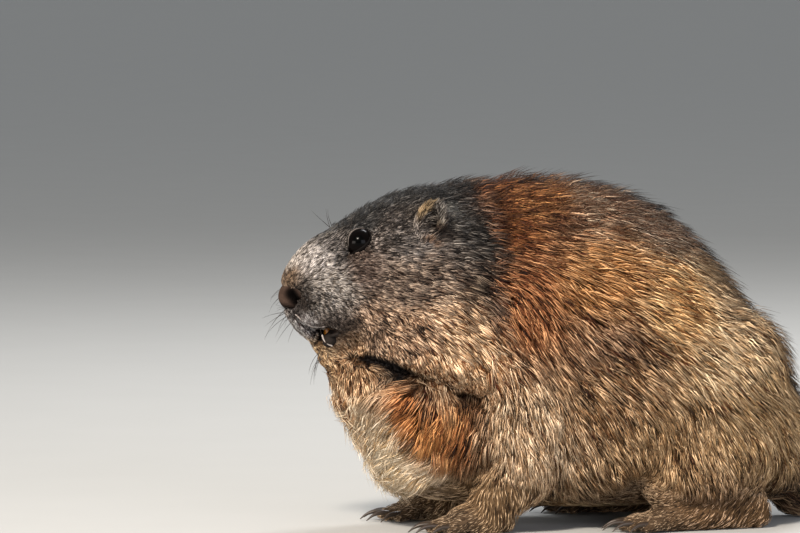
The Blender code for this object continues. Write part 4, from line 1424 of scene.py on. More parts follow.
    @staticmethod
    def loft(draft: Draft, stations: Sequence[Sequence[float]], around: int = 48) -> None:
        """Adds the trunk or the head to a drawing, closed to a point at both ends.

        Args:
            draft: The drawing.
            stations: Upright sections from front to back.
            around: Points round each section.
        """
        rows = smooth_rows(stations, 5)
        turns = 2 * math.pi * np.arange(around) / around
        c, s = np.cos(turns), np.sin(turns)
        rings = []
        for y, top, bottom, wide, half, above, below in rows[1:-1]:
            power = np.where(c >= 0, 2 / above, 2 / below)
            reach = np.where(c >= 0, top - wide, wide - bottom)
            x = half * np.copysign(np.abs(s) ** power, s)
            z = wide + reach * np.copysign(np.abs(c) ** power, c)
            rings.append(np.stack([x, np.full(around, y), z], axis=1))
        front, back = ([(0, r[0], (r[1] + r[2]) / 2)] for r in (rows[0], rows[-1]))
        draft.rings([front, *rings, back])

    @staticmethod
    def limb(
        draft: Draft, stations: Sequence[Sequence[float]], side: Side = Side.LEFT, around: int = 20
    ) -> None:
        """Adds a tube of oval sections with round ends to a drawing.

        Args:
            draft: The drawing.
            stations: Sections of a left tube: x, y, z, half width and half depth.
            side: The side it goes on.
            around: Points round each section.
        """
        rows = smooth_rows([(*side.place(s[:3]), *s[3:]) for s in stations], 4)
        centres = rows[:, :3]
        last = len(rows) - 1
        round_end = ((0.0, 1.0), (0.7, 0.75), (1.0, 0.0))
        turns = 2 * math.pi * np.arange(around) / around
        rings: list[Sequence[Sequence[float]]] = []
        for i, row in enumerate(rows):
            along = unit(centres[min(i + 1, last)] - centres[max(i - 1, 0)])
            across = unit(np.array((1.0, 0, 0)) - along * along[0])
            other = np.cross(along, across)
            steps: Sequence[tuple[float, float]] = ((0.0, 1.0),)
            if i == 0:
                steps = [(-push, share) for push, share in reversed(round_end)]
            elif i == last:
                steps = round_end
            for push, share in steps:
                middle = centres[i] + along * push * min(row[3], row[4])
                oval = np.outer(np.cos(turns), across * row[3]) + np.outer(np.sin(turns), other * row[4])
                rings.append(middle + share * oval if share else [middle])
        draft.rings(rings)

    def toe_rows(self, foot: str) -> list[tuple[Array, Array, float, float]]:
        """The toes of a left foot.

        Args:
            foot: "fore" or "hind".

        Returns:
            Each toe's start, direction, length and radius.
        """
        base, spread, radius, toes = self.toes[foot]
        made = []
        for k, (fan, length) in enumerate(toes):
            ahead = np.array((math.sin(math.radians(fan)), -math.cos(math.radians(fan)), 0.0))
            start = np.array(base) + np.array(((k - (len(toes) - 1) / 2) * spread, 0, 0))
            made.append((start, ahead, length, radius))
        return made

    def depth(self, points: Array) -> Array:
        """Works out how far the skin lies under the coat's outline.

        Args:
            points: Places on the outline.

        Returns:
            One depth for each point.
        """
        y, z = points[:, 1], points[:, 2]
        behind_face = np.maximum(ramp(y, -172, -60), 0.8 * (1 - ramp(z, 84, 106)))
        body = self.face_depth + self.body_depth * behind_face
        tail = ramp(y, 140, 165)
        body = body * (1 - tail) + (self.tail_depth - self.tail_thins * ramp(y, 235, 275)) * tail
        above_foot = ramp(z, 14, 56) * (1 - tail) + tail
        return np.minimum(body, self.foot_depth + self.leg_depth * above_foot)

    def rough_form(self) -> Mesh:
        """Runs the lofts and masses together, in the frame the body was drawn in.

        Returns:
            The mesh, closed and evenly meshed.
        """
        draft = Draft()
        self.loft(draft, self.trunk)
        self.loft(draft, self.head)
        self.limb(draft, self.tail)
        for side in Side:
            for stations in (self.foreleg, self.thigh, self.shank, self.fore_sole, self.hind_sole):
                self.limb(draft, stations, side)
            for centre, half in self.masses:
                draft.ball(side.place(centre), half)
            for foot in self.toes:
                for start, ahead, length, radius in self.toe_rows(foot):
                    rows = []
                    for reach, lift, size in ((-7, 0, 0.9), (length * 0.5, 1.0, 1.0), (length, -1.0, 0.85)):
                        middle = start + ahead * reach + np.array((0, 0, lift))
                        rows.append((*middle, radius * size, radius * size))
                    self.limb(draft, rows, side, 12)
        rough = link("rough_form", draft.mesh("rough_form"))
        remesh = rough.modifiers.new("run_together", "REMESH")
        remesh.mode = "VOXEL"
        remesh.voxel_size = self.voxel * MM
        return plain_mesh(rough)

    def shape(self, points: Array, normals: Array) -> Array:
        """Sinks the form under the coat, folds it, and beds the eyes and the nose in it.

        Args:
            points: The form's points.
            normals: Its normals.

        Returns:
            The moved points.
        """
        left = to_left(points)
        move = -self.depth(points)
        for fold in self.folds:
            away = line_distance(left, fold.line)
            move += fold.rise * np.exp(-((away / fold.radius) ** 2))
        along, height, _ = np.array(PARTING).T
        below = ramp(np.interp(left[:, 1], along, height) - left[:, 2], -1, 4)
        away = parting_distance(points)
        sunk = self.parting * np.exp(-((away / PARTING_RADIUS) ** 2))
        sunk += self.under_ruff * below * np.exp(-((away / self.ruff_reach) ** 2))
        move -= parting_depth(points) * sunk
        shaped = points + normals * move[:, None]
        shaped[:, 2] = np.maximum(shaped[:, 2], self.lowest)
        for side in Side:
            shaped = self.bed_eye(shaped, side)
        return self.bed_nose(shaped)

    @staticmethod
    def bed_nose(points: Array) -> Array:
        """Draws the skin within the nose's pad.

        Args:
            points: The skin's points.

        Returns:
            The moved points.
        """
        nose = Nose()
        arm = (points - np.array(nose.centre)) / np.array(nose.half)
        far = np.linalg.norm(arm, axis=1)
        drawn = far - np.maximum(far - nose.bed, 0) * (1 - ramp(far, 1.0, nose.bed_edge))
        return np.array(nose.centre) + (points - np.array(nose.centre)) * (drawn / (far + 1e-9))[:, None]

    @staticmethod
    def bed_eye(points: Array, side: Side) -> Array:
        """Draws the skin under the eye within its lids, and up to the lids round it.

        Args:
            points: The skin's points.
            side: The animal's side.

        Returns:
            The moved points.
        """
        setting = EYE_SETTING
        centre, out, back, up = setting.frame(side)
        arm = points - centre
        far = np.linalg.norm(arm, axis=1)
        angle = np.arccos(np.clip((arm @ out) / (far + 1e-9), -1, 1))
        turns = np.arctan2(arm @ up, arm @ back)
        edge = setting.margin(turns)
        within = 1 - ramp(angle, edge + 0.02, edge + 0.16)
        beside = (1 - ramp(angle, edge + 0.2, edge + 0.85)) * ramp(far, 2, 5) * (1 - ramp(far, 16, 22))
        ridge = setting.radius + setting.ridge
        radius = far + (ridge - far) * beside
        radius = radius + (setting.radius - setting.bed - radius) * within * (far < 22)
        moved = centre + arm / (far + 1e-9)[:, None] * radius[:, None]
        return np.where((angle < 1.9)[:, None] & (far < 24)[:, None], moved, points)

    def mouth_cutters(self) -> list[Object]:
        """Makes the prisms that open the mouth.

        Returns:
            One for each side and one for the middle.
        """
        wide, narrow, past = self.mouth_half, self.middle_half, self.middle_half + self.cut_overlap
        sides = self.upper_edge + self.lower_edge
        middle = self.middle_edge + self.lower_edge[2:]
        cutters = []
        for low, high, gap in ((narrow, wide, sides), (-wide, -narrow, sides), (-past, past, middle)):
            draft = Draft()
            draft.rings([[(x, y, z) for y, z in gap] for x in (low, high)])
            count = len(gap)
            draft.faces += [list(range(count)), list(range(count, 2 * count))]
            cutters.append(link("mouth_cutter", draft.mesh("mouth_cutter")))
        return cutters

    def build(self, markings: Markings) -> Object:
        """Makes, colours, unwraps and dresses the skin.

        Args:
            markings: The coat's colours.

        Returns:
            The skin, in place of the solids of flesh.
        """
        rough = self.rough_form()
        points = mesh_points(rough) / MM
        shaped = self.shape(points, mesh_normals(rough))
        rough.vertices.foreach_set("co", (shaped * MM).astype(np.float32).ravel())
        rough.update()
        body = link("skin_draft", rough)
        soften = body.modifiers.new("soften", "SMOOTH")
        soften.factor = 0.5
        soften.iterations = self.smoothing
        body = link("skin_draft", plain_mesh(body))
        cutters = self.mouth_cutters()
        for cutter in cutters:
            opening = body.modifiers.new("mouth", "BOOLEAN")
            opening.operation = "DIFFERENCE"
            opening.solver = "MANIFOLD"
            opening.object = cutter
        mesh = plain_mesh(body)
        for cutter in cutters:
            bpy.data.objects.remove(cutter)
        mesh.transform(Matrix.Translation(Vector(SHIFT)))
        skin = link("skin", mesh)
        self.unwrap(skin)
        points = (mesh_points(mesh) - SHIFT) / MM
        middle, deep, _, _ = markings.shades(points)
        colour = self.deep_share * deep + self.middle_share * middle
        # Painted shade: the mouth's inner walls are painted near-black.
        colour[self.inside_mouth(points)] = linear(self.lining)
        colour[Nose().holds(points, 0.12)] = linear(Nose.side)
        paint(mesh, colour)
        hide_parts(*[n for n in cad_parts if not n.startswith(("eye_", "incisors", "nose"))])
        self.mesh = mesh
        return finish_piece(skin, PELT)

    def inside_mouth(self, points: Array) -> Array:
        """Tells which points lie on the mouth's inner walls.

        Args:
            points: Places on the skin.

        Returns:
            True or false for each point.
        """
        x, y, z = points.T
        upper = np.interp(y, *np.array(self.upper_edge[::-1]).T)
        lower = np.interp(y, *np.array((*self.lower_edge, self.upper_edge[0])).T)
        wall = np.abs(np.abs(x) - self.middle_half) < 0.5
        between = (y < self.upper_edge[0][0]) & (z < upper + 0.1) & (z > lower - 0.1)
        return between & ((y > self.lined_from) | wall)

    def bare(self, points: Array) -> Array:
        """Whether each point lies on the mouth's walls beside the teeth, where no hair grows."""
        return self.inside_mouth(points) & (points[:, 1] > self.bare_from)

    @staticmethod
    def unwrap(obj: Object) -> None:
        """Unwraps a piece by the turn of its own surface.

        Args:
            obj: The piece.
        """
        bpy.context.view_layer.objects.active = obj
        for other in bpy.context.selected_objects:
            other.select_set(False)
        obj.select_set(True)
        obj.data.uv_layers.new(name=UNWRAP)
        bpy.ops.object.mode_set(mode="EDIT")
        bpy.ops.mesh.select_all(action="SELECT")
        bpy.ops.uv.smart_project(angle_limit=math.radians(70), island_margin=0.001)
        bpy.ops.object.mode_set(mode="OBJECT")
        obj.select_set(False)


def paint(mesh: Mesh, colours: Array) -> None:
    """Stores colours on a mesh.

    Args:
        mesh: The mesh.
        colours: Linear red, green and blue for each point.
    """
    attribute = mesh.color_attributes.new(COLOUR, "FLOAT_COLOR", "POINT")
    full = np.ones((len(mesh.vertices), 4), np.float32)
    full[:, :3] = colours
    attribute.data.foreach_set("color", full.ravel())


# Ears


@dataclass
class Ear:
    """A small, round, cupped ear, close against the head."""

    centre: Point = (34.5, -94.0, 182.5)
    half: Point = (7.5, 8.0, 11.5)
    opens: Point = (0.80, -0.58, 0.12)
    rises: Point = (0.22, 0.22, 0.95)
    # Where the shell ends, as a share of its depth, how thick it is, and how far its rim waves.
    cut: float = 0.25
    wall: float = 1.8
    wave: float = 0.05
    # Steps from the shell's pole to its rim, and points round it.
    steps: int = 12
    around: int = 24
    # How much of the coat's deep and middle colours the shell has.
    deep_share: float = 0.5
    middle_share: float = 0.35

    def build(self, side: Side, markings: Markings) -> Object:
        """Makes one ear's shell, open to the front and outwards.

        Args:
            side: The animal's side.
            markings: The coat's colours.

        Returns:
            The dressed shell.
        """
        opens = unit(side.place(self.opens))
        rises = side.place(self.rises)
        rises = unit(rises - opens * (rises @ opens))
        across = np.cross(rises, opens)
        rings: list[Array] = []
        steps = self.steps
        lip = math.acos(self.cut)
        for shrink, order in ((0.0, range(steps + 1)), (self.wall, range(steps, -1, -1))):
            for i in order:
                angle = math.pi - (math.pi - lip) * i / steps
                size = np.array(self.half) - shrink
                turns = 2 * math.pi * np.arange(self.around if i else 1) / self.around
                wave = 1 + self.wave * np.cos(2 * turns) * (i / steps)
                flat = math.sin(angle) * wave
                local = np.stack(
                    [
                        np.full(len(turns), size[0] * math.cos(angle)),
                        size[1] * flat * np.sin(turns),
                        size[2] * flat * np.cos(turns),
                    ],
                    axis=1,
                )
                middle = side.place(self.centre)
                rings.append(middle + local @ np.stack([opens, across, rises]))
        draft = Draft()
        draft.rings(rings)
        mesh = draft.mesh("ear_shell_" + side.word, SHIFT)
        ear = link("ear_shell_" + side.word, mesh)
        Skin.unwrap(ear)
        points = (mesh_points(mesh) - SHIFT) / MM
        inner = ramp((points - side.place(self.centre)) @ opens, -6, 2)
        middle, deep, _, _ = markings.shades(points)
        paint(mesh, deep * self.deep_share + middle * self.middle_share * inner[:, None])
        return finish_piece(ear, PELT)


# Coat


@dataclass(frozen=True)
class CoatArea:
    """One piece of the coat: which part of the skin it covers and how its tufts gather.

    tufts is how many it has, clump how far apart its locks are in millimetres, gather how strongly their
    tips are drawn together, and swing how far tufts turn aside in degrees. finer, longer and lift change the
    width, length and stand that the comb gives. free tips keep their own line, and others follow the skin.
    black is the least share of black-tipped tufts, root how much of the depths' colour the tufts' roots keep,
    their darkening partly dark underfur and partly painted shade between the tufts, and stray how much higher
    than the rest a few tips stand.
    """

    name: str
    slot: str
    covers: Callable[[Array], Array]
    tufts: int
    clump: float
    gather: float
    swing: float = 10.0
    finer: float = 1.0
    longer: float = 1.0
    lift: float = 1.0
    free: float = 0.0
    black: float = 0.0
    root: float = 0.3
    stray: float = 0.0


def on_tail(p: Array) -> Array:
    """Whether points lie on the tail."""
    return (p[:, 1] > 150) | ((p[:, 1] > 134) & (p[:, 2] < 42) & (np.abs(p[:, 0]) < 22))


def on_foot(p: Array) -> Array:
    """Whether points lie on a foot or low on a leg.

    Args:
        p: The points.

    Returns:
        True or false for each point.
    """
    fore = (p[:, 2] < 34) & (p[:, 1] < -36) & (np.abs(p[:, 0]) > 28)
    hind = (p[:, 2] < 22) & (p[:, 1] > -8) & (p[:, 1] < 122) & (np.abs(p[:, 0]) > 40)
    return (fore | hind) & ~on_tail(p)


def on_head(p: Array) -> Array:
    """Whether points lie on the head, outside the nose's pad."""
    return (p[:, 1] < -66) & (p[:, 2] > 94 + 0.12 * (p[:, 1] + 66)) & ~Nose().holds(p, 0.05)


def on_face(p: Array) -> Array:
    """Whether points lie on the front of the head."""
    return on_head(p) & (p[:, 1] < -120)


def on_cheek(p: Array) -> Array:
    """Whether points lie on the head behind the face."""
    return on_head(p) & ~on_face(p)


def on_belly(p: Array) -> Array:
    """Whether points lie under the body."""
    return (p[:, 2] < 26) & (np.abs(p[:, 0]) < 44) & (p[:, 1] > -84) & ~on_tail(p)


def on_chest(p: Array) -> Array:
    """Whether points lie on the throat or chest."""
    return ~on_head(p) & (p[:, 1] < -62) & (p[:, 1] > -152) & ~on_foot(p) & ~on_belly(p)


def on_back(p: Array) -> Array:
    """Whether points lie high on the back or the neck."""
    rest = ~(on_head(p) | on_chest(p) | on_foot(p) | on_tail(p) | on_belly(p))
    return rest & (p[:, 2] > 168 - 0.5 * np.clip(p[:, 1] - 40, 0, 200))


def on_flank(p: Array) -> Array:
    """Whether points lie on the sides of the body."""
    return ~(on_head(p) | on_chest(p) | on_foot(p) | on_tail(p) | on_belly(p) | on_back(p))


def on_top(p: Array) -> Array:
    """Whether points lie where guard hairs stand: along the crown, neck, back and rump.

    Args:
        p: The points.

    Returns:
        True or false for each point.
    """
    along = (-140, -100, -60, 0, 60, 100, 130, 150)
    spine = np.interp(p[:, 1], along, (160, 176, 178, 176, 158, 118, 80, 40))
    return (p[:, 2] > spine) & (p[:, 1] > -142) & ~on_tail(p)


def on_side(test: Callable[[Array], Array], side: Side) -> Callable[[Array], Array]:
    """A test that also asks for one side of the animal."""
    return lambda p: test(p) & (p[:, 0] * side.value >= 0)


def everywhere(p: Array) -> Array:
    """Every point."""
    return np.ones(len(p), bool)


def coat_areas() -> list[CoatArea]:
    """Lists every piece of the coat on the skin.

    Returns:
        The pieces, in the order in which they draw their random numbers.
    """
    chest = CoatArea("throat_and_chest_coat", "body_fur", on_chest, 31000, clump=7.0, gather=0.5, swing=15.0)
    guard = CoatArea("guard_hairs", "body_fur", on_top, 18000, clump=3.4, gather=0.5, swing=18.0)
    areas = [
        replace(chest, lift=1.1, free=0.55, root=0.9, stray=0.9),
        CoatArea("back_coat", "body_fur", on_back, 28000, clump=3.6, gather=0.4, swing=12.0, longer=0.8),
        CoatArea("belly_coat", "body_fur", on_belly, 3500, clump=8.0, gather=0.5),
        CoatArea("feet_coat", "foot_fur", on_foot, 10000, clump=3.0, gather=0.2),
        CoatArea("tail_coat", "tail_fur", on_tail, 8500, clump=9.0, gather=0.5, swing=14.0),
        replace(guard, finer=0.68, longer=0.75, lift=1.6, free=0.55, black=0.97),
    ]
    face = CoatArea("face_coat_", "face_fur", on_face, 21000, clump=2.0, gather=0.5, swing=12.0)
    cheek = CoatArea("cheek_coat_", "face_fur", on_cheek, 21000, clump=3.2, gather=0.6, swing=11.0)
    flank = CoatArea("flank_coat_", "body_fur", on_flank, 29000, 3.6, gather=0.42, swing=12.0, longer=0.8)
    for side in Side:
        for area in (face, cheek, flank):
            areas.append(replace(area, name=area.name + side.word, covers=on_side(area.covers, side)))
    return areas


@dataclass
class Coat:
    """Tufts over a skin, each a thin closed spike that follows the lie of the hair."""

    surface: Surface
    markings: Markings
    comb: Comb
    seed: int = 7
    # How wide a tuft's patch of the unwrap is, and how deep its root lies in the skin.
    patch: float = 0.003
    sunk: float = 1.2
    # How far tufts stay above the floor.
    clear: float = 0.2
    # Corners of a tuft's section: across and up, as shares of its half width.
    section: Pairs = ((1.0, -0.3), (0.0, 0.8), (-1.0, -0.3))
    bend_share: float = 0.45
    # The least and most of a tuft's length and width, and of the pull on its tip, as shares of what is given.
    spread: tuple[float, float] = (0.75, 1.2)
    pull_spread: tuple[float, float] = (0.7, 1.2)
    # How much shorter hair is in the parting, beside the eyes and beside the lips, and how far that reaches.
    short_in_parting: float = 0.55
    by_eye: tuple[float, float, float] = (0.3, 0.0, 9.0)
    by_lip: tuple[float, float, float] = (0.35, 0.8, 5.0)
    # The least length of hair above the parting.
    least_length: float = 2.5
    # How much of an area's swing a tuft takes from its own draw, and from its lock's.
    swing_share: float = 0.7
    # How much of its rise a tuft has at the least, how much more at the most, and how rare the most is.
    rise_draw: tuple[float, float, float] = (0.4, 0.75, 1.3)
    stray_rarity: float = 5.0
    # How far hair rises over the parting: close to it, and for each millimetre of room.
    rise_near: float = 0.8
    rise_by_room: float = 0.45
    # The least share of its rise that a lock has, and how much more it may have.
    lock_rise: tuple[float, float] = (0.85, 0.3)
    # How much of a tuft's rise its bend has, and how much of the tip's pull towards its lock's leader.
    bend_rise: float = 0.72
    bend_pull: float = 0.45
    # How much of their roots' distance a lock's tips and bends keep.
    tips_apart: float = 0.25
    bends_apart: float = 0.7
    # What a tuft's shade comes from: its own draw, its lock's and soft patches, and how far it can go.
    own_tone: float = 0.74
    lock_tone: float = 0.4
    patch_tone: float = 0.25
    most_tone: float = 1.2
    patches: Mottle = Mottle(11, 7.0)
    # How much of the deep colour the darkest tufts keep, and how far and to what level light tips go.
    least_level: float = 0.2
    tip_share: float = 0.4
    tip_level: float = 1.35
    # A black tip's share of the deep colour, and what the bend below has of the tuft's and the deep colour.
    black_tip: float = 0.2
    under_black: tuple[float, float] = (0.25, 0.35)
    # How strongly tufts are either light or dark: the lower, the fewer are between.
    sharpness: float = 0.5
    contrast: float = 1.5

    def grow(self, area: CoatArea, number: int) -> Object:
        """Makes one piece of the coat.

        Args:
            area: The piece's skin, count and gathering.
            number: Its place in the row of pieces, for its random numbers.

        Returns:
            The dressed piece.
        """
        draw = np.random.default_rng(self.seed + number)
        surface = self.surface
        _, length, _, width = self.comb.at(surface.centres, surface.normals[surface.triangles[:, 0]])
        weights = surface.areas * area.covers(surface.centres) / (length * width) ** 0.75
        weights *= (EYE_SETTING.beside(surface.centres) > 1.0) & ~Skin().bare(surface.centres)
        roots, normals, unwrap = surface.scatter(weights, area.tufts, draw)
        return self.plant(area, roots, normals, unwrap, draw)

    def plant(
        self, area: CoatArea, roots: Array, normals: Array, unwrap: Array, draw: np.random.Generator
    ) -> Object:
        """Grows tufts from roots and turns them into one dressed mesh.

        Args:
            area: The piece of the coat.
            roots: Where the tufts grow.
            normals: The skin's normals there.
            unwrap: The unwrap's coordinates there.
            draw: The source of random numbers.

        Returns:
            The dressed piece.
        """
        count = len(roots)
        lie, length, stand, width = self.comb.at(roots, normals)
        leader = self.leaders(roots, area.clump, draw)
        own_turn = self.swing_share * draw.normal(size=count)
        lock_turn = self.swing_share * draw.normal(size=count)[leader]
        turn = np.radians(area.swing) * (own_turn + lock_turn)
        sideways = np.cross(normals, lie)
        lie = lie * np.cos(turn)[:, None] + sideways * np.sin(turn)[:, None]
        short = self.shortened(roots)
        length = length * area.longer * short * draw.uniform(*self.spread, count)
        room = self.markings.over_parting(roots)
        length = np.minimum(length, np.maximum(self.least_length, room + draw.uniform(-5, 0, count)))
        end, end_normal = self.surface.nearest(roots + lie * length[:, None])
        end += area.free * (roots + lie * length[:, None] - end)
        end_normal = unit(end_normal + area.free * (normals - end_normal))
        least, more, rarity = self.rise_draw
        rise = stand * area.lift * short * (least + more * draw.random(count) ** rarity)
        rise = rise * (1 + area.stray * draw.random(count) ** self.stray_rarity)
        rise = np.minimum(rise, self.rise_near + self.rise_by_room * room)
        least, more = self.lock_rise
        rise *= least + more * draw.random(count)[leader]
        reach = np.linalg.norm(end - roots, axis=1, keepdims=True)
        t = self.bend_share
        bend = (1 - t) ** 2 * roots + 2 * t * (1 - t) * (roots + lie * reach / 2) + t * t * end
        bend_normal = unit((1 - t) * normals + t * end_normal)
        bend = bend + bend_normal * (self.bend_rise * rise)[:, None]
        tip = end + end_normal * rise[:, None]
        bend[:, 2] = np.maximum(bend[:, 2], self.clear + width)
        tip[:, 2] = np.maximum(tip[:, 2], self.clear)
        root = roots - normals * self.sunk
        gather = area.gather * draw.uniform(*self.pull_spread, count)[:, None]
        from_leader = roots - roots[leader]
        tip = tip + gather * (tip[leader] + self.tips_apart * from_leader - tip)
        bend = bend + self.bend_pull * gather * (bend[leader] + self.bends_apart * from_leader - bend)
        half = (width * area.finer * draw.uniform(*self.spread, count) / 2)[:, None]
        across = unit(np.cross(normals, bend - root))
        ring = [bend + half * (aside * across + above * bend_normal) for aside, above in self.section]
        points = np.stack([root, *ring, tip], axis=1)
        colours = self.colour(roots, leader, draw, area)
        return self.dress(area, points, colours, unwrap)

    def shortened(self, roots: Array) -> Array:
        """Works out how much of its length hair has in the parting and beside the eyes and lips.

        Args:
            roots: Where the tufts grow.

        Returns:
            One share for each tuft.
        """
        mouth = Mouth()
        lips = [line_distance(to_left(roots), line) for line in (mouth.upper, mouth.lower, mouth.crescent)]
        short = 1 - self.short_in_parting * self.markings.creased(roots)
        for away, (least, start, end) in (
            (EYE_SETTING.beside(roots), self.by_eye),
            (np.min(lips, axis=0), self.by_lip),
        ):
            short = short * (least + (1 - least) * ramp(away, start, end))
        return short

    @staticmethod
    def leaders(roots: Array, spacing: float, draw: np.random.Generator) -> Array:
        """Picks the tufts that locks gather to, one in each cell of a grid.

        Args:
            roots: Where the tufts grow.
            spacing: The cells' width.
            draw: The source of random numbers.

        Returns:
            For each root, the number of the nearest picked tuft.
        """
        cells = np.floor(roots / spacing + draw.random(3)).astype(int)
        _, chosen = np.unique(cells, axis=0, return_index=True)
        tree = KDTree(len(chosen))
        for index in chosen.tolist():
            tree.insert(roots[index], index)
        tree.balance()
        return np.array([tree.find(p)[1] for p in roots.tolist()])

    def colour(self, roots: Array, leader: Array, draw: np.random.Generator, area: CoatArea) -> Array:
        """Colours of each tuft's root, bend and tip.

        Args:
            roots: Where the tufts grow.
            leader: Each tuft's leader.
            draw: The source of random numbers.
            area: The piece, which says how many tips are black and how dark the roots are.

        Returns:
            Linear colours, as tuft, place along it and channel.
        """
        count = len(roots)
        middle, deep, light, black = self.markings.shades(roots)
        patchy = self.patches.at(roots)
        lock = self.sharp(draw.uniform(-1, 1, count))[leader]
        own = self.sharp(draw.uniform(-1, 1, count))
        tone = self.own_tone * own + self.lock_tone * lock + self.patch_tone * patchy
        tone = np.clip(tone, -self.most_tone, self.most_tone)[:, None]
        towards = np.maximum(tone, 0) * (light - middle) + np.maximum(-tone, 0) * (deep - middle)
        body = middle + self.contrast * towards
        body = np.maximum(body, self.least_level * deep)
        tip = body + self.tip_share * np.maximum(tone + 0.5, 0) * (light * self.tip_level - body)
        dark_tip = (draw.random(count) < np.maximum(black, area.black))[:, None]
        tip = np.where(dark_tip, deep * self.black_tip, tip)
        of_body, of_deep = self.under_black
        bend = np.where(dark_tip, of_body * body + of_deep * deep, body)
        # The roots are darkened to a share of the deep colour: partly the dark underfur, partly painted shade
        # between the tufts.
        return np.stack([deep * area.root, bend, tip], axis=1)

    def sharp(self, values: Array) -> Array:
        """Values from -1 to 1, drawn towards both ends."""
        return np.sign(values) * np.abs(values) ** self.sharpness

    def dress(self, area: CoatArea, points: Array, colours: Array, unwrap: Array) -> Object:
        """Turns tufts into one mesh with its colours and unwrap, and finishes it.

        Args:
            area: The piece of the coat.
            points: Each tuft's points, in millimetres.
            colours: Each tuft's colours at its root, bend and tip.
            unwrap: Where each tuft's patch lies in the unwrap.

        Returns:
            The dressed piece.
        """
        count, per_tuft = len(points), len(self.section) + 2
        faces, corners = self.tuft_faces()
        loops = (faces.ravel() + per_tuft * np.arange(count)[:, None]).astype(np.int32)
        mesh = bpy.data.meshes.new(area.name)
        mesh.vertices.add(count * per_tuft)
        mesh.vertices.foreach_set("co", (points * MM + SHIFT).astype(np.float32).ravel())
        mesh.loops.add(loops.size)
        mesh.loops.foreach_set("vertex_index", loops.ravel())
        mesh.polygons.add(count * len(faces))
        mesh.polygons.foreach_set("loop_start", np.arange(0, loops.size, 3, dtype=np.int32))
        mesh.update(calc_edges=True)
        layer = mesh.uv_layers.new(name=UNWRAP)
        patches = np.clip(unwrap[:, None, :] + self.patch * corners, 0, 1)
        layer.data.foreach_set("uv", patches.astype(np.float32).ravel())
        place_along = np.array([0] + [1] * len(self.section) + [2])
        paint(mesh, colours[:, place_along].reshape(-1, 3))
        return finish_piece(link(area.name, mesh), HAIR)

    def tuft_faces(self) -> tuple[Array, Array]:
        """The triangles of one tuft, and where their corners lie on its patch of the unwrap.

        Returns:
            Three corner numbers for each triangle, and across and along the patch for each of them.
        """
        sides = len(self.section)
        tip = sides + 1
        faces, corners = [], []
        for i in range(sides):
            a, b = 1 + i, 1 + (i + 1) % sides
            left, middle, right = ((i + share) / sides - 0.5 for share in (0.0, 0.5, 1.0))
            faces += [(0, b, a), (a, b, tip)]
            corners += [(middle, -0.5), (right, 0.0), (left, 0.0), (left, 0.0), (right, 0.0), (middle, 0.5)]
        return np.array(faces), np.array(corners)


@dataclass
class EarComb(Comb):
    """The short hair of an ear, which lies up and back, past the rim."""

    ear: Ear = field(default_factory=Ear)
    side: Side = Side.LEFT
    length: float = 6.0
    stand: float = 2.2
    width: float = 0.48

    def at(self, points: Array, normals: Array) -> tuple[Array, Array, Array, Array]:
        """The growth on the ear: up, back and away from its middle.

        Args:
            points: Places on the shell.
            normals: Its normals there.

        Returns:
            The lie along the shell, and the length, stand and width of a tuft.
        """
        rises = unit(self.side.place(self.ear.rises))
        opens = unit(self.side.place(self.ear.opens))
        away = unit(points - self.side.place(self.ear.centre))
        wanted = 1.0 * rises + 0.25 * away + 0.2 * opens + np.array((0, 0.55, 0))
        lie = wanted - 0.7 * normals * (wanted * normals).sum(axis=1, keepdims=True)
        count = len(points)
        sizes = (np.full(count, size) for size in (self.length, self.stand, self.width))
        return unit(lie), *sizes


# Eyes


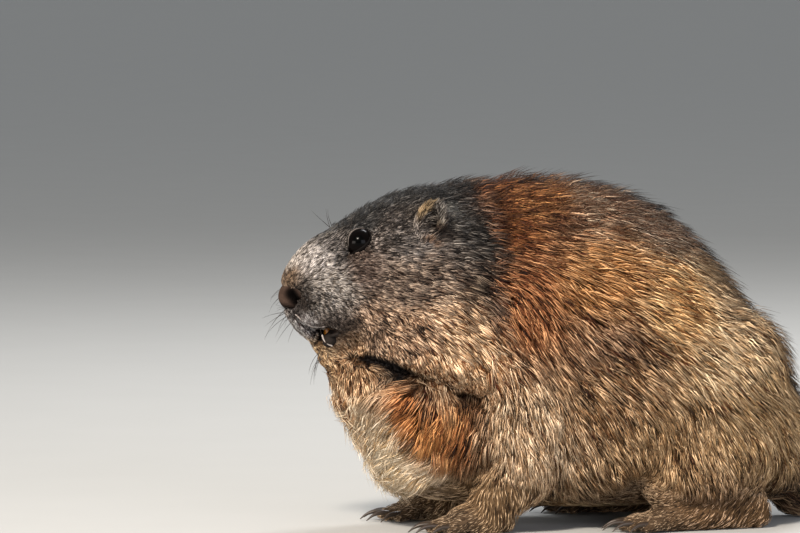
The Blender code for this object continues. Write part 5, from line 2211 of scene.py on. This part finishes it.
@dataclass
class Eye:
    """A dark, wet eye in its lids."""

    setting: EyeSetting = field(default_factory=EyeSetting)
    around: int = 48
    rows: int = 24
    # How far the cornea is raised, and the angle over which it falls off.
    cornea: tuple[float, float] = (0.35, 0.6)
    # The lids' section: the angle outside their margin, and the height over the ball.
    lid_profile: Pairs = (
        (-0.06, -0.4),
        (-0.03, 0.1),
        (0.0, 0.35),
        (0.04, 0.45),
        (0.09, 0.4),
        (0.16, 0.15),
        (0.3, -0.6),
        (0.28, -2.2),
        (-0.02, -2.4),
    )
    # The upper lid's pale edge: from turn to turn, how thick, and how far off the margin and the ball.
    edge_turns: tuple[float, float] = (3.5, 1.1)
    edge_radius: float = 0.24
    edge_off: tuple[float, float] = (0.035, 0.5)

    def build(self, side: Side) -> None:
        """Makes the eyeball and the lids of one side."""
        self.ball(side)
        self.lids(side)

    def ball(self, side: Side) -> Object:
        """Makes the eyeball, with its pole on the axis and a slightly raised cornea.

        Args:
            side: The animal's side.

        Returns:
            The dressed eyeball.
        """
        turns = 2 * math.pi * np.arange(self.around) / self.around
        height, spread = self.cornea
        rings = []
        off_axis: list[float] = []
        for i in range(self.rows + 1):
            angle = math.pi * i / self.rows
            pole = i in (0, self.rows)
            raised = self.setting.radius + height * math.exp(-((angle / spread) ** 2))
            used = turns[:1] if pole else turns
            rings.append(self.setting.point(side, np.full(len(used), angle), used, raised))
            off_axis += [angle] * len(used)
        draft = Draft()
        draft.rings(rings)
        mesh = draft.mesh("eyeball_" + side.word, SHIFT)
        attribute = mesh.attributes.new("off_axis", "FLOAT", "POINT")
        attribute.data.foreach_set("value", off_axis)
        eye = link("eyeball_" + side.word, mesh)
        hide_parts("eye_" + side.word)
        return finish_piece(eye, EYE)

    def lids(self, side: Side) -> Object:
        """Makes the lids' margin, a dark edge on the ball that falls away to the skin, and its pale edge.

        Args:
            side: The animal's side.

        Returns:
            The dressed margin.
        """
        turns = 2 * math.pi * np.arange(self.around) / self.around - math.pi
        edge = self.setting.margin(turns)
        radius = self.setting.radius
        rings = [self.setting.point(side, edge + out, turns, radius + lift) for out, lift in self.lid_profile]
        draft = Draft()
        draft.rings(rings, closed=True)
        lids = link("eyelids_" + side.word, draft.mesh("eyelids_" + side.word, SHIFT))
        self.lid_edge(side)
        return finish_piece(lids, LID_RIM)

    def lid_edge(self, side: Side) -> Object:
        """Makes the thin pale edge of the upper lid, from the front corner over the top.

        Args:
            side: The animal's side.

        Returns:
            The dressed edge.
        """
        turns = np.linspace(*self.edge_turns, 14)
        angles = self.setting.margin(turns) + self.edge_off[0]
        places = self.setting.point(side, angles, turns, self.setting.radius + self.edge_off[1])
        thick = self.edge_radius * np.sin(np.linspace(0.25, math.pi - 0.25, len(turns)))
        draft = Draft()
        Skin.limb(draft, [(*place, size, size) for place, size in zip(places, thick)], around=8)
        edge = link("lid_edge_" + side.word, draft.mesh("lid_edge_" + side.word, SHIFT))
        return finish_piece(edge, LID_EDGE)


# Nose and mouth


@dataclass
class Nose:
    """The nose's bare pad, brown in front and black at the sides, where the comma-shaped nostrils open."""

    centre: Point = (0, -167.7, 139.6)
    half: Point = (12.8, 8.0, 8.8)
    nostril: tuple[Point, ...] = ((9.4, -172.8, 142.8), (11.2, -170.6, 139.4), (12.4, -167.6, 135.4))
    groove: tuple[Point, ...] = ((0, -178, 138), (0, -176, 131), (0, -170, 126))
    front: str = "463831"
    side: str = "0e0b0a"
    # The near-black painted shade in the nostril slits and, fainter, in the middle groove.
    hole: str = "030202"
    # How much of the pad's size the skin beneath it has, and where the skin round it is left as it was.
    bed: float = 0.5
    bed_edge: float = 1.3
    # Radius and depth of the nostril's slit, its raised wing and the groove in the middle.
    slit: tuple[float, float] = (3.1, 4.6)
    wing: tuple[float, float] = (5.2, 0.9)
    groove_cut: tuple[float, float] = (1.2, 1.4)
    # Where the black goes over to brown: away from the nostril's line, and in height.
    black_beside: tuple[float, float] = (2.2, 6.8)
    black_below: tuple[float, float] = (132.5, 137.0)

    def holds(self, points: Array, spare: float = 0.0) -> Array:
        """Whether points lie in the pad or close to it."""
        arm = (points - np.array(self.centre)) / np.array(self.half)
        return np.linalg.norm(arm, axis=1) < 1 + spare

    def build(self) -> Object:
        """Makes the pad as a ball, pressed in at the nostrils and the groove, with painted shade in both.

        Returns:
            The dressed pad.
        """
        draft = Draft()
        draft.ball(self.centre, self.half, 96, 64)
        points = np.array(draft.points, float)
        outwards = unit((points - np.array(self.centre)) / np.array(self.half) ** 2)
        left = to_left(points)
        beside = line_distance(left, self.nostril)
        slit = np.exp(-((beside / self.slit[0]) ** 2))
        wing = np.exp(-((beside / self.wing[0]) ** 2))
        groove = np.exp(-((line_distance(points, self.groove) / self.groove_cut[0]) ** 2))
        lift = self.wing[1] * wing - self.slit[1] * slit - self.groove_cut[1] * groove
        points += outwards * lift[:, None]
        draft.points = points.tolist()
        mesh = draft.mesh("nose_pad", SHIFT)
        black = 1 - ramp(beside, *self.black_beside)
        dark = np.maximum(black, 1 - ramp(points[:, 2], *self.black_below))[:, None]
        tone = 1 + 0.25 * Mottle(31, 2.5).at(points)[:, None]
        colour = (linear(self.front) * (1 - dark) + linear(self.side) * dark) * tone
        # Painted shade: the nostril slits and, fainter, the middle groove are darkened to near-black.
        hollow_shade_share = np.clip(slit + 0.6 * groove, 0, 1)[:, None]
        paint(mesh, colour * (1 - hollow_shade_share) + linear(self.hole) * hollow_shade_share)
        nose = link("nose_pad", mesh)
        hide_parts("nose")
        return finish_piece(nose, NOSE_LEATHER)


@dataclass
class Mouth:
    """Lips along the opening, the lower lip's lobes, the lining in painted shade and the lower incisors."""

    # The left half of the upper lip's edge, of the lower lip's, and the pale crescent in front of its lobe.
    upper: tuple[Point, ...] = (
        (18.8, -153.8, 122.4),
        (17.9, -156.8, 122.2),
        (16.4, -161.4, 122.6),
        (13.9, -165.6, 125.6),
        (10.0, -169.0, 129.2),
    )
    lower: tuple[Point, ...] = ((21.0, -146.5, 118.0), (17.5, -149.5, 116.6), (12.0, -152.5, 115.2))
    crescent: tuple[Point, ...] = (
        (14.5, -154.0, 117.0),
        (15.6, -153.5, 114.6),
        (16.8, -151.5, 112.2),
        (17.3, -148.9, 110.8),
    )
    # Centre and half axes of a lobe of the lower lip, and of the lining.
    lobe: tuple[Point, Point] = ((14.5, -149.5, 113.9), (3.8, 4.2, 4.0))
    lining: tuple[Point, Point] = ((0, -146.5, 117.6), (1.4, 9.0, 7.5))
    rim_radius: float = 0.42
    lip_radius: float = 1.0
    crescent_radius: float = 0.5
    incisor: Rows = (
        (2.3, -145.6, 112, 2.7, 2.5),
        (2.3, -146.8, 117.5, 2.6, 2.3),
        (2.2, -148.0, 121.6, 2.3, 1.3),
    )

    def strip(self, name: str, line: Sequence[Point], radius: float, finish: Finish) -> None:
        """Makes a soft edge along a line, on both sides.

        Args:
            name: The piece's name.
            line: The line on the left side.
            radius: The edge's radius.
            finish: Its finish.
        """
        draft = Draft()
        for side in Side:
            rows = [(*p, radius, radius) for p in line]
            Skin.limb(draft, rows, side, 12)
        finish_piece(link(name, draft.mesh(name, SHIFT)), finish)

    def build(self) -> None:
        """Makes the lips, the lining and the teeth."""
        self.strip("upper_lip_rim", self.upper, self.rim_radius, LIP_RIM)
        self.strip("lower_lip", self.lower, self.lip_radius, LIP_LEATHER)
        self.strip("lower_lip_rim", self.crescent, self.crescent_radius, LIP_RIM)
        draft = Draft()
        for side in Side:
            draft.ball(side.place(self.lobe[0]), self.lobe[1], 28, 18)
        lobes = link("lower_lip_lobes", draft.mesh("lower_lip_lobes", SHIFT))
        finish_piece(lobes, LIP_LEATHER)
        # A near-black ball fills the mouth: painted shade where the mouth's inside lies in shadow.
        draft = Draft()
        draft.ball(*self.lining, 32, 20)
        lining = link("mouth_lining", draft.mesh("mouth_lining", SHIFT))
        finish_piece(lining, MOUTH_SHADE_LINING)
        draft = Draft()
        for side in Side:
            Skin.limb(draft, self.incisor, side, 14)
        teeth = link("lower_incisors", draft.mesh("lower_incisors", SHIFT))
        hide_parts("incisors")
        finish_piece(teeth, ENAMEL)


# Claws and whiskers


@dataclass
class Spikes:
    """Tapered spikes swept along guide lines by a node tree: claws and whiskers."""

    name: str
    slot: str
    finish: Finish
    root_radius: float
    tip_share: float
    sides: int
    uneven: float = 0.0
    seed: int = 1
    lines: list[Array] = field(default_factory=list)

    def tree(self) -> tuple[NodeTree, dict[str, str]]:
        """The node tree that sweeps a round section along each line.

        Returns:
            The tree and its inputs' identifiers by name.
        """
        made = bpy.data.node_groups.new("sweep_" + self.name, "GeometryNodeTree")
        made.interface.new_socket("Geometry", in_out="OUTPUT", socket_type="NodeSocketGeometry")
        made.interface.new_socket("Geometry", in_out="INPUT", socket_type="NodeSocketGeometry")
        for label, kind in (
            ("Root radius", "NodeSocketFloat"),
            ("Tip share", "NodeSocketFloat"),
            ("Sides", "NodeSocketInt"),
            ("Unevenness", "NodeSocketFloat"),
            ("Seed", "NodeSocketInt"),
            ("Finish", "NodeSocketMaterial"),
        ):
            made.interface.new_socket(label, in_out="INPUT", socket_type=kind)
        ids = {s.name: s.identifier for s in made.interface.items_tree if s.in_out == "INPUT"}
        given = made.nodes.new("NodeGroupInput").outputs
        curve = add_node(made, "GeometryNodeMeshToCurve", inputs={"Mesh": given["Geometry"]})
        along = add_node(made, "GeometryNodeSplineParameter")
        taper = {"Value": along.outputs["Factor"], "To Min": 1.0, "To Max": given["Tip share"]}
        fade = add_node(made, "ShaderNodeMapRange", inputs=taper)
        low = add_node(made, "ShaderNodeMath", {"operation": "SUBTRACT"}, {0: 1.0, 1: given["Unevenness"]})
        high = add_node(made, "ShaderNodeMath", {"operation": "ADD"}, {0: 1.0, 1: given["Unevenness"]})
        varied = add_node(
            made,
            "FunctionNodeRandomValue",
            {"data_type": "FLOAT"},
            {2: low.outputs[0], 3: high.outputs[0], "Seed": given["Seed"]},
        )
        sized = add_node(
            made, "ShaderNodeMath", {"operation": "MULTIPLY"}, {0: given["Root radius"], 1: fade.outputs[0]}
        )
        final = add_node(
            made, "ShaderNodeMath", {"operation": "MULTIPLY"}, {0: sized.outputs[0], 1: varied.outputs[1]}
        )
        ring = add_node(
            made, "GeometryNodeCurvePrimitiveCircle", inputs={"Resolution": given["Sides"], "Radius": 1.0}
        )
        swept = add_node(
            made,
            "GeometryNodeCurveToMesh",
            inputs={
                "Curve": curve.outputs[0],
                "Profile Curve": ring.outputs[0],
                "Scale": final.outputs[0],
                "Fill Caps": True,
            },
        )
        real = add_node(made, "GeometryNodeRealizeInstances", inputs={0: swept.outputs[0]})
        dressed = add_node(
            made, "GeometryNodeSetMaterial", inputs={"Geometry": real.outputs[0], "Material": given["Finish"]}
        )
        out = made.nodes.new("NodeGroupOutput")
        made.links.new(dressed.outputs[0], out.inputs[0])
        return made, ids

    def build(self) -> Object:
        """Sweeps the lines and turns the result into a plain mesh.

        Returns:
            The dressed piece.
        """
        points = np.concatenate(self.lines) * MM + SHIFT
        starts = np.cumsum([0] + [len(line) for line in self.lines])
        edges = [(i, i + 1) for a, b in zip(starts, starts[1:]) for i in range(a, b - 1)]
        guide = bpy.data.meshes.new(self.name)
        guide.from_pydata(points.tolist(), edges, [])
        obj = link(self.name + "_guides", guide)
        tree, ids = self.tree()
        modifier = obj.modifiers.new("sweep", "NODES")
        modifier.node_group = tree
        values = {
            "Root radius": self.root_radius * MM,
            "Tip share": self.tip_share,
            "Sides": self.sides,
            "Unevenness": self.uneven,
            "Seed": self.seed,
            "Finish": self.finish.material(),
        }
        for label, value in values.items():
            modifier[ids[label]] = value
        mesh = plain_mesh(obj)
        turn_outwards(mesh)
        return finish_piece(link(self.name, mesh), self.finish)


def curved_hair(place: Array, normal: Array, run: Array, sag: Array) -> Array:
    """Draws a whisker's guide line.

    Args:
        place: Where it leaves the skin.
        normal: The skin's normal there.
        run: From its root to where its tip would be if it were straight.
        sag: How far the tip bends from there.

    Returns:
        The line's points, from just under the skin.
    """
    steps = np.linspace(0, 1, 7)[:, None]
    return place - normal + run * steps + sag * steps**2


def claw_lines(skin: Skin) -> list[Array]:
    """Guide lines of all claws, from inside each toe's tip, curving down.

    Args:
        skin: The skin, which says where the toes are.

    Returns:
        One row of points for each claw.
    """
    length, droop = 11.0, 3.4
    lines = []
    for side in Side:
        for foot in ("fore", "hind"):
            for start, ahead, reach, radius in skin.toe_rows(foot):
                tip = start + ahead * (reach + radius * 0.5)
                bends = ((-4, 0.4), (0, 1.0), (length * 0.35, 0.7), (length * 0.7, -0.9), (length, -droop))
                rows = [side.place(tip + ahead * far + np.array((0, 0, lift))) for far, lift in bends]
                lines.append(smooth_rows(rows, 3))
    return lines


def whisker_lines(surface: Surface) -> list[Array]:
    """Guide lines of all whiskers, from the pads beside the nose, the brows, cheeks and chin.

    Args:
        surface: The skin they stand on.

    Returns:
        One row of points for each whisker.
    """
    draw = np.random.default_rng(23)
    # Count, middle of the group, its spread, direction and length, on the upper lip, brow, cheek and chin.
    groups = (
        (5, (12, -170, 128), (3, 3, 4), (0.45, -0.7, -0.45), 24),
        (3, (16, -142, 184), (4, 8, 2), (0.3, -0.35, 0.9), 24),
        (3, (40, -114, 150), (2, 2, 2), (0.8, 0.3, -0.3), 20),
        (5, (8, -150, 106), (5, 4, 2), (0.3, -0.4, -0.85), 20),
    )
    lines = []
    for side in Side:
        for count, middle, spread, direction, length in groups:
            for _ in range(count):
                near = side.place(np.array(middle) + draw.normal(size=3) * np.array(spread) * 0.6)
                place, normal = surface.nearest(near[None])
                way = unit(side.place(direction) + 0.28 * draw.normal(size=3) + 0.25 * normal[0])
                size = length * draw.uniform(0.6, 1.15)
                sag = np.array((0, 0.35, -0.25)) * size * draw.uniform(0.3, 1.0)
                lines.append(curved_hair(place[0], normal[0], way * size, sag))
        for place, normal in follicles(surface, side):
            way = unit(side.place((0.7, -0.5, -0.1)) + 0.16 * draw.normal(size=3) + 0.3 * normal)
            size = draw.uniform(16, 36)
            lines.append(curved_hair(place, normal, way * size, np.array((0, 0.3, -0.2)) * size))
    return lines


def follicles(surface: Surface, side: Side) -> list[tuple[Array, Array]]:
    """Finds where the pad's whiskers stand.

    Args:
        surface: The skin.
        side: The animal's side.

    Returns:
        Each whisker's place, and the skin's normal there.
    """
    made = []
    for row in range(PAD_ROWS):
        for column in range(PAD_COLUMNS):
            point = np.array(PAD_FIRST) + column * np.array(PAD_ALONG) + row * np.array(PAD_ACROSS)
            place, normal = surface.nearest(side.place(point)[None])
            made.append((place[0], normal[0]))
    return made


def follicle_lines(surface: Surface) -> list[Array]:
    """Guide lines of the short, thick roots of the pad's whiskers, which show as rows of dark dots.

    Args:
        surface: The skin.

    Returns:
        One row of points for each root.
    """
    lines = []
    for side in Side:
        for place, normal in follicles(surface, side):
            lines.append(place + normal * np.array((-1.0, 1.5, 3.2))[:, None])
    return lines


# Studio


@dataclass
class Studio:
    """A pale paper floor, soft lights and the camera."""

    azimuth: float = 18.0
    elevation: float = 3.0
    distance: float = 4.0
    lens: float = 300.0
    target: Point = (-29.67, -91.3, 154.5)
    floor_half: float = 45.0

    def axes(self) -> tuple[Vector, Vector]:
        """Works out the view.

        Returns:
            The direction back to the camera, and the point that it looks at.
        """
        turn, rise = math.radians(self.azimuth), math.radians(self.elevation)
        back = Vector((math.cos(turn) * math.cos(rise), -math.sin(turn) * math.cos(rise), math.sin(rise)))
        return back, Vector(np.array(self.target) * MM + SHIFT)

    def camera(self) -> None:
        """Sets the camera at the photograph's angle."""
        back, target = self.axes()
        data = bpy.data.cameras.new("camera")
        data.lens = self.lens
        data.sensor_width = 36.0
        data.clip_end = 50.0
        made = bpy.data.objects.new("camera", data)
        bpy.context.scene.collection.objects.link(made)
        made.location = target + back * self.distance
        made.rotation_mode = "QUATERNION"
        made.rotation_quaternion = back.to_track_quat("Z", "Y")
        bpy.context.scene.camera = made

    def light(self, name: str, place: Point, size: float, watts: float, colour: str) -> None:
        """Hangs a square soft light that faces the animal.

        Args:
            name: The light's name.
            place: Where it hangs, in metres.
            size: Its width in metres.
            watts: Its power.
            colour: Its colour, as a hex code.
        """
        data = bpy.data.lights.new(name, "AREA")
        data.size = size
        data.energy = watts
        data.color = linear(colour)
        made = bpy.data.objects.new(name, data)
        bpy.context.scene.collection.objects.link(made)
        made.location = place
        made.rotation_mode = "QUATERNION"
        made.rotation_quaternion = (Vector(place) - Vector((0, 0, 0.1))).to_track_quat("Z", "Y")

    def build(self) -> None:
        """Sets floor, lights, world and camera."""
        floor = bpy.data.meshes.new("paper_floor")
        half = self.floor_half
        corners = [(-half, -half, 0), (half, -half, 0), (half, half, 0), (-half, half, 0)]
        floor.from_pydata(corners, [], [(0, 1, 2, 3)])
        paper = link("paper_floor", floor)
        floor.materials.append(PAPER.material())
        self.light("key", (2.1, -1.6, 2.2), 0.5, 160, "fff2e2")
        self.light("fill", (2.8, 0.6, 0.6), 1.6, 35, "f4f5ff")
        self.light("front", (1.2, -2.8, 0.2), 1.4, 62, "fff6ea")
        self.light("rim", (-1.2, 1.0, 1.8), 0.8, 32, "ffffff")
        world = bpy.data.worlds.new("studio")
        world.use_nodes = True
        sky = world.node_tree.nodes["Background"]
        sky.inputs["Color"].default_value = (*linear("adafb1"), 1)
        sky.inputs["Strength"].default_value = 0.95
        bpy.context.scene.world = world
        bpy.context.scene.view_settings.view_transform = "Standard"
        self.camera()


# Main


# The ears' place in the row of coat pieces, for their random numbers.
FIRST_EAR = 40


def main() -> None:
    """Builds the marmot piece by piece."""
    logging.basicConfig(level=logging.INFO, format="%(message)s")
    markings = Markings()
    skin = Skin()
    skin.build(markings)
    surface = Surface.of(skin.mesh)
    for side in Side:
        Eye().build(side)
    Nose().build()
    Mouth().build()
    for name, slot, finish, root_radius, tip_share, sides, uneven, lines in (
        ("claws", "claw_horn", CLAW_HORN, 2.1, 0.12, 10, 0.0, claw_lines(skin)),
        ("whiskers", "face_fur", WHISKER, 0.22, 0.15, 5, 0.2, whisker_lines(surface)),
        ("whisker_roots", "face_fur", WHISKER, 0.62, 0.7, 6, 0.2, follicle_lines(surface)),
    ):
        Spikes(name, slot, finish, root_radius, tip_share, sides, uneven, lines=lines).build()
    coat = Coat(surface, markings, Comb())
    for number, area in enumerate(coat_areas()):
        coat.grow(area, number)
    for number, side in enumerate(Side):
        ear = Ear()
        shell = ear.build(side, markings)
        ear_coat = Coat(Surface.of(shell.data), markings, EarComb(ear=ear, side=side), sunk=0.3)
        area = CoatArea("ear_coat_" + side.word, "ear_fur", everywhere, 3500, 2.5, 0.3, 14.0, free=1.0)
        ear_coat.grow(area, FIRST_EAR + number)
    Studio().build()


if __name__ == "__main__":
    main()
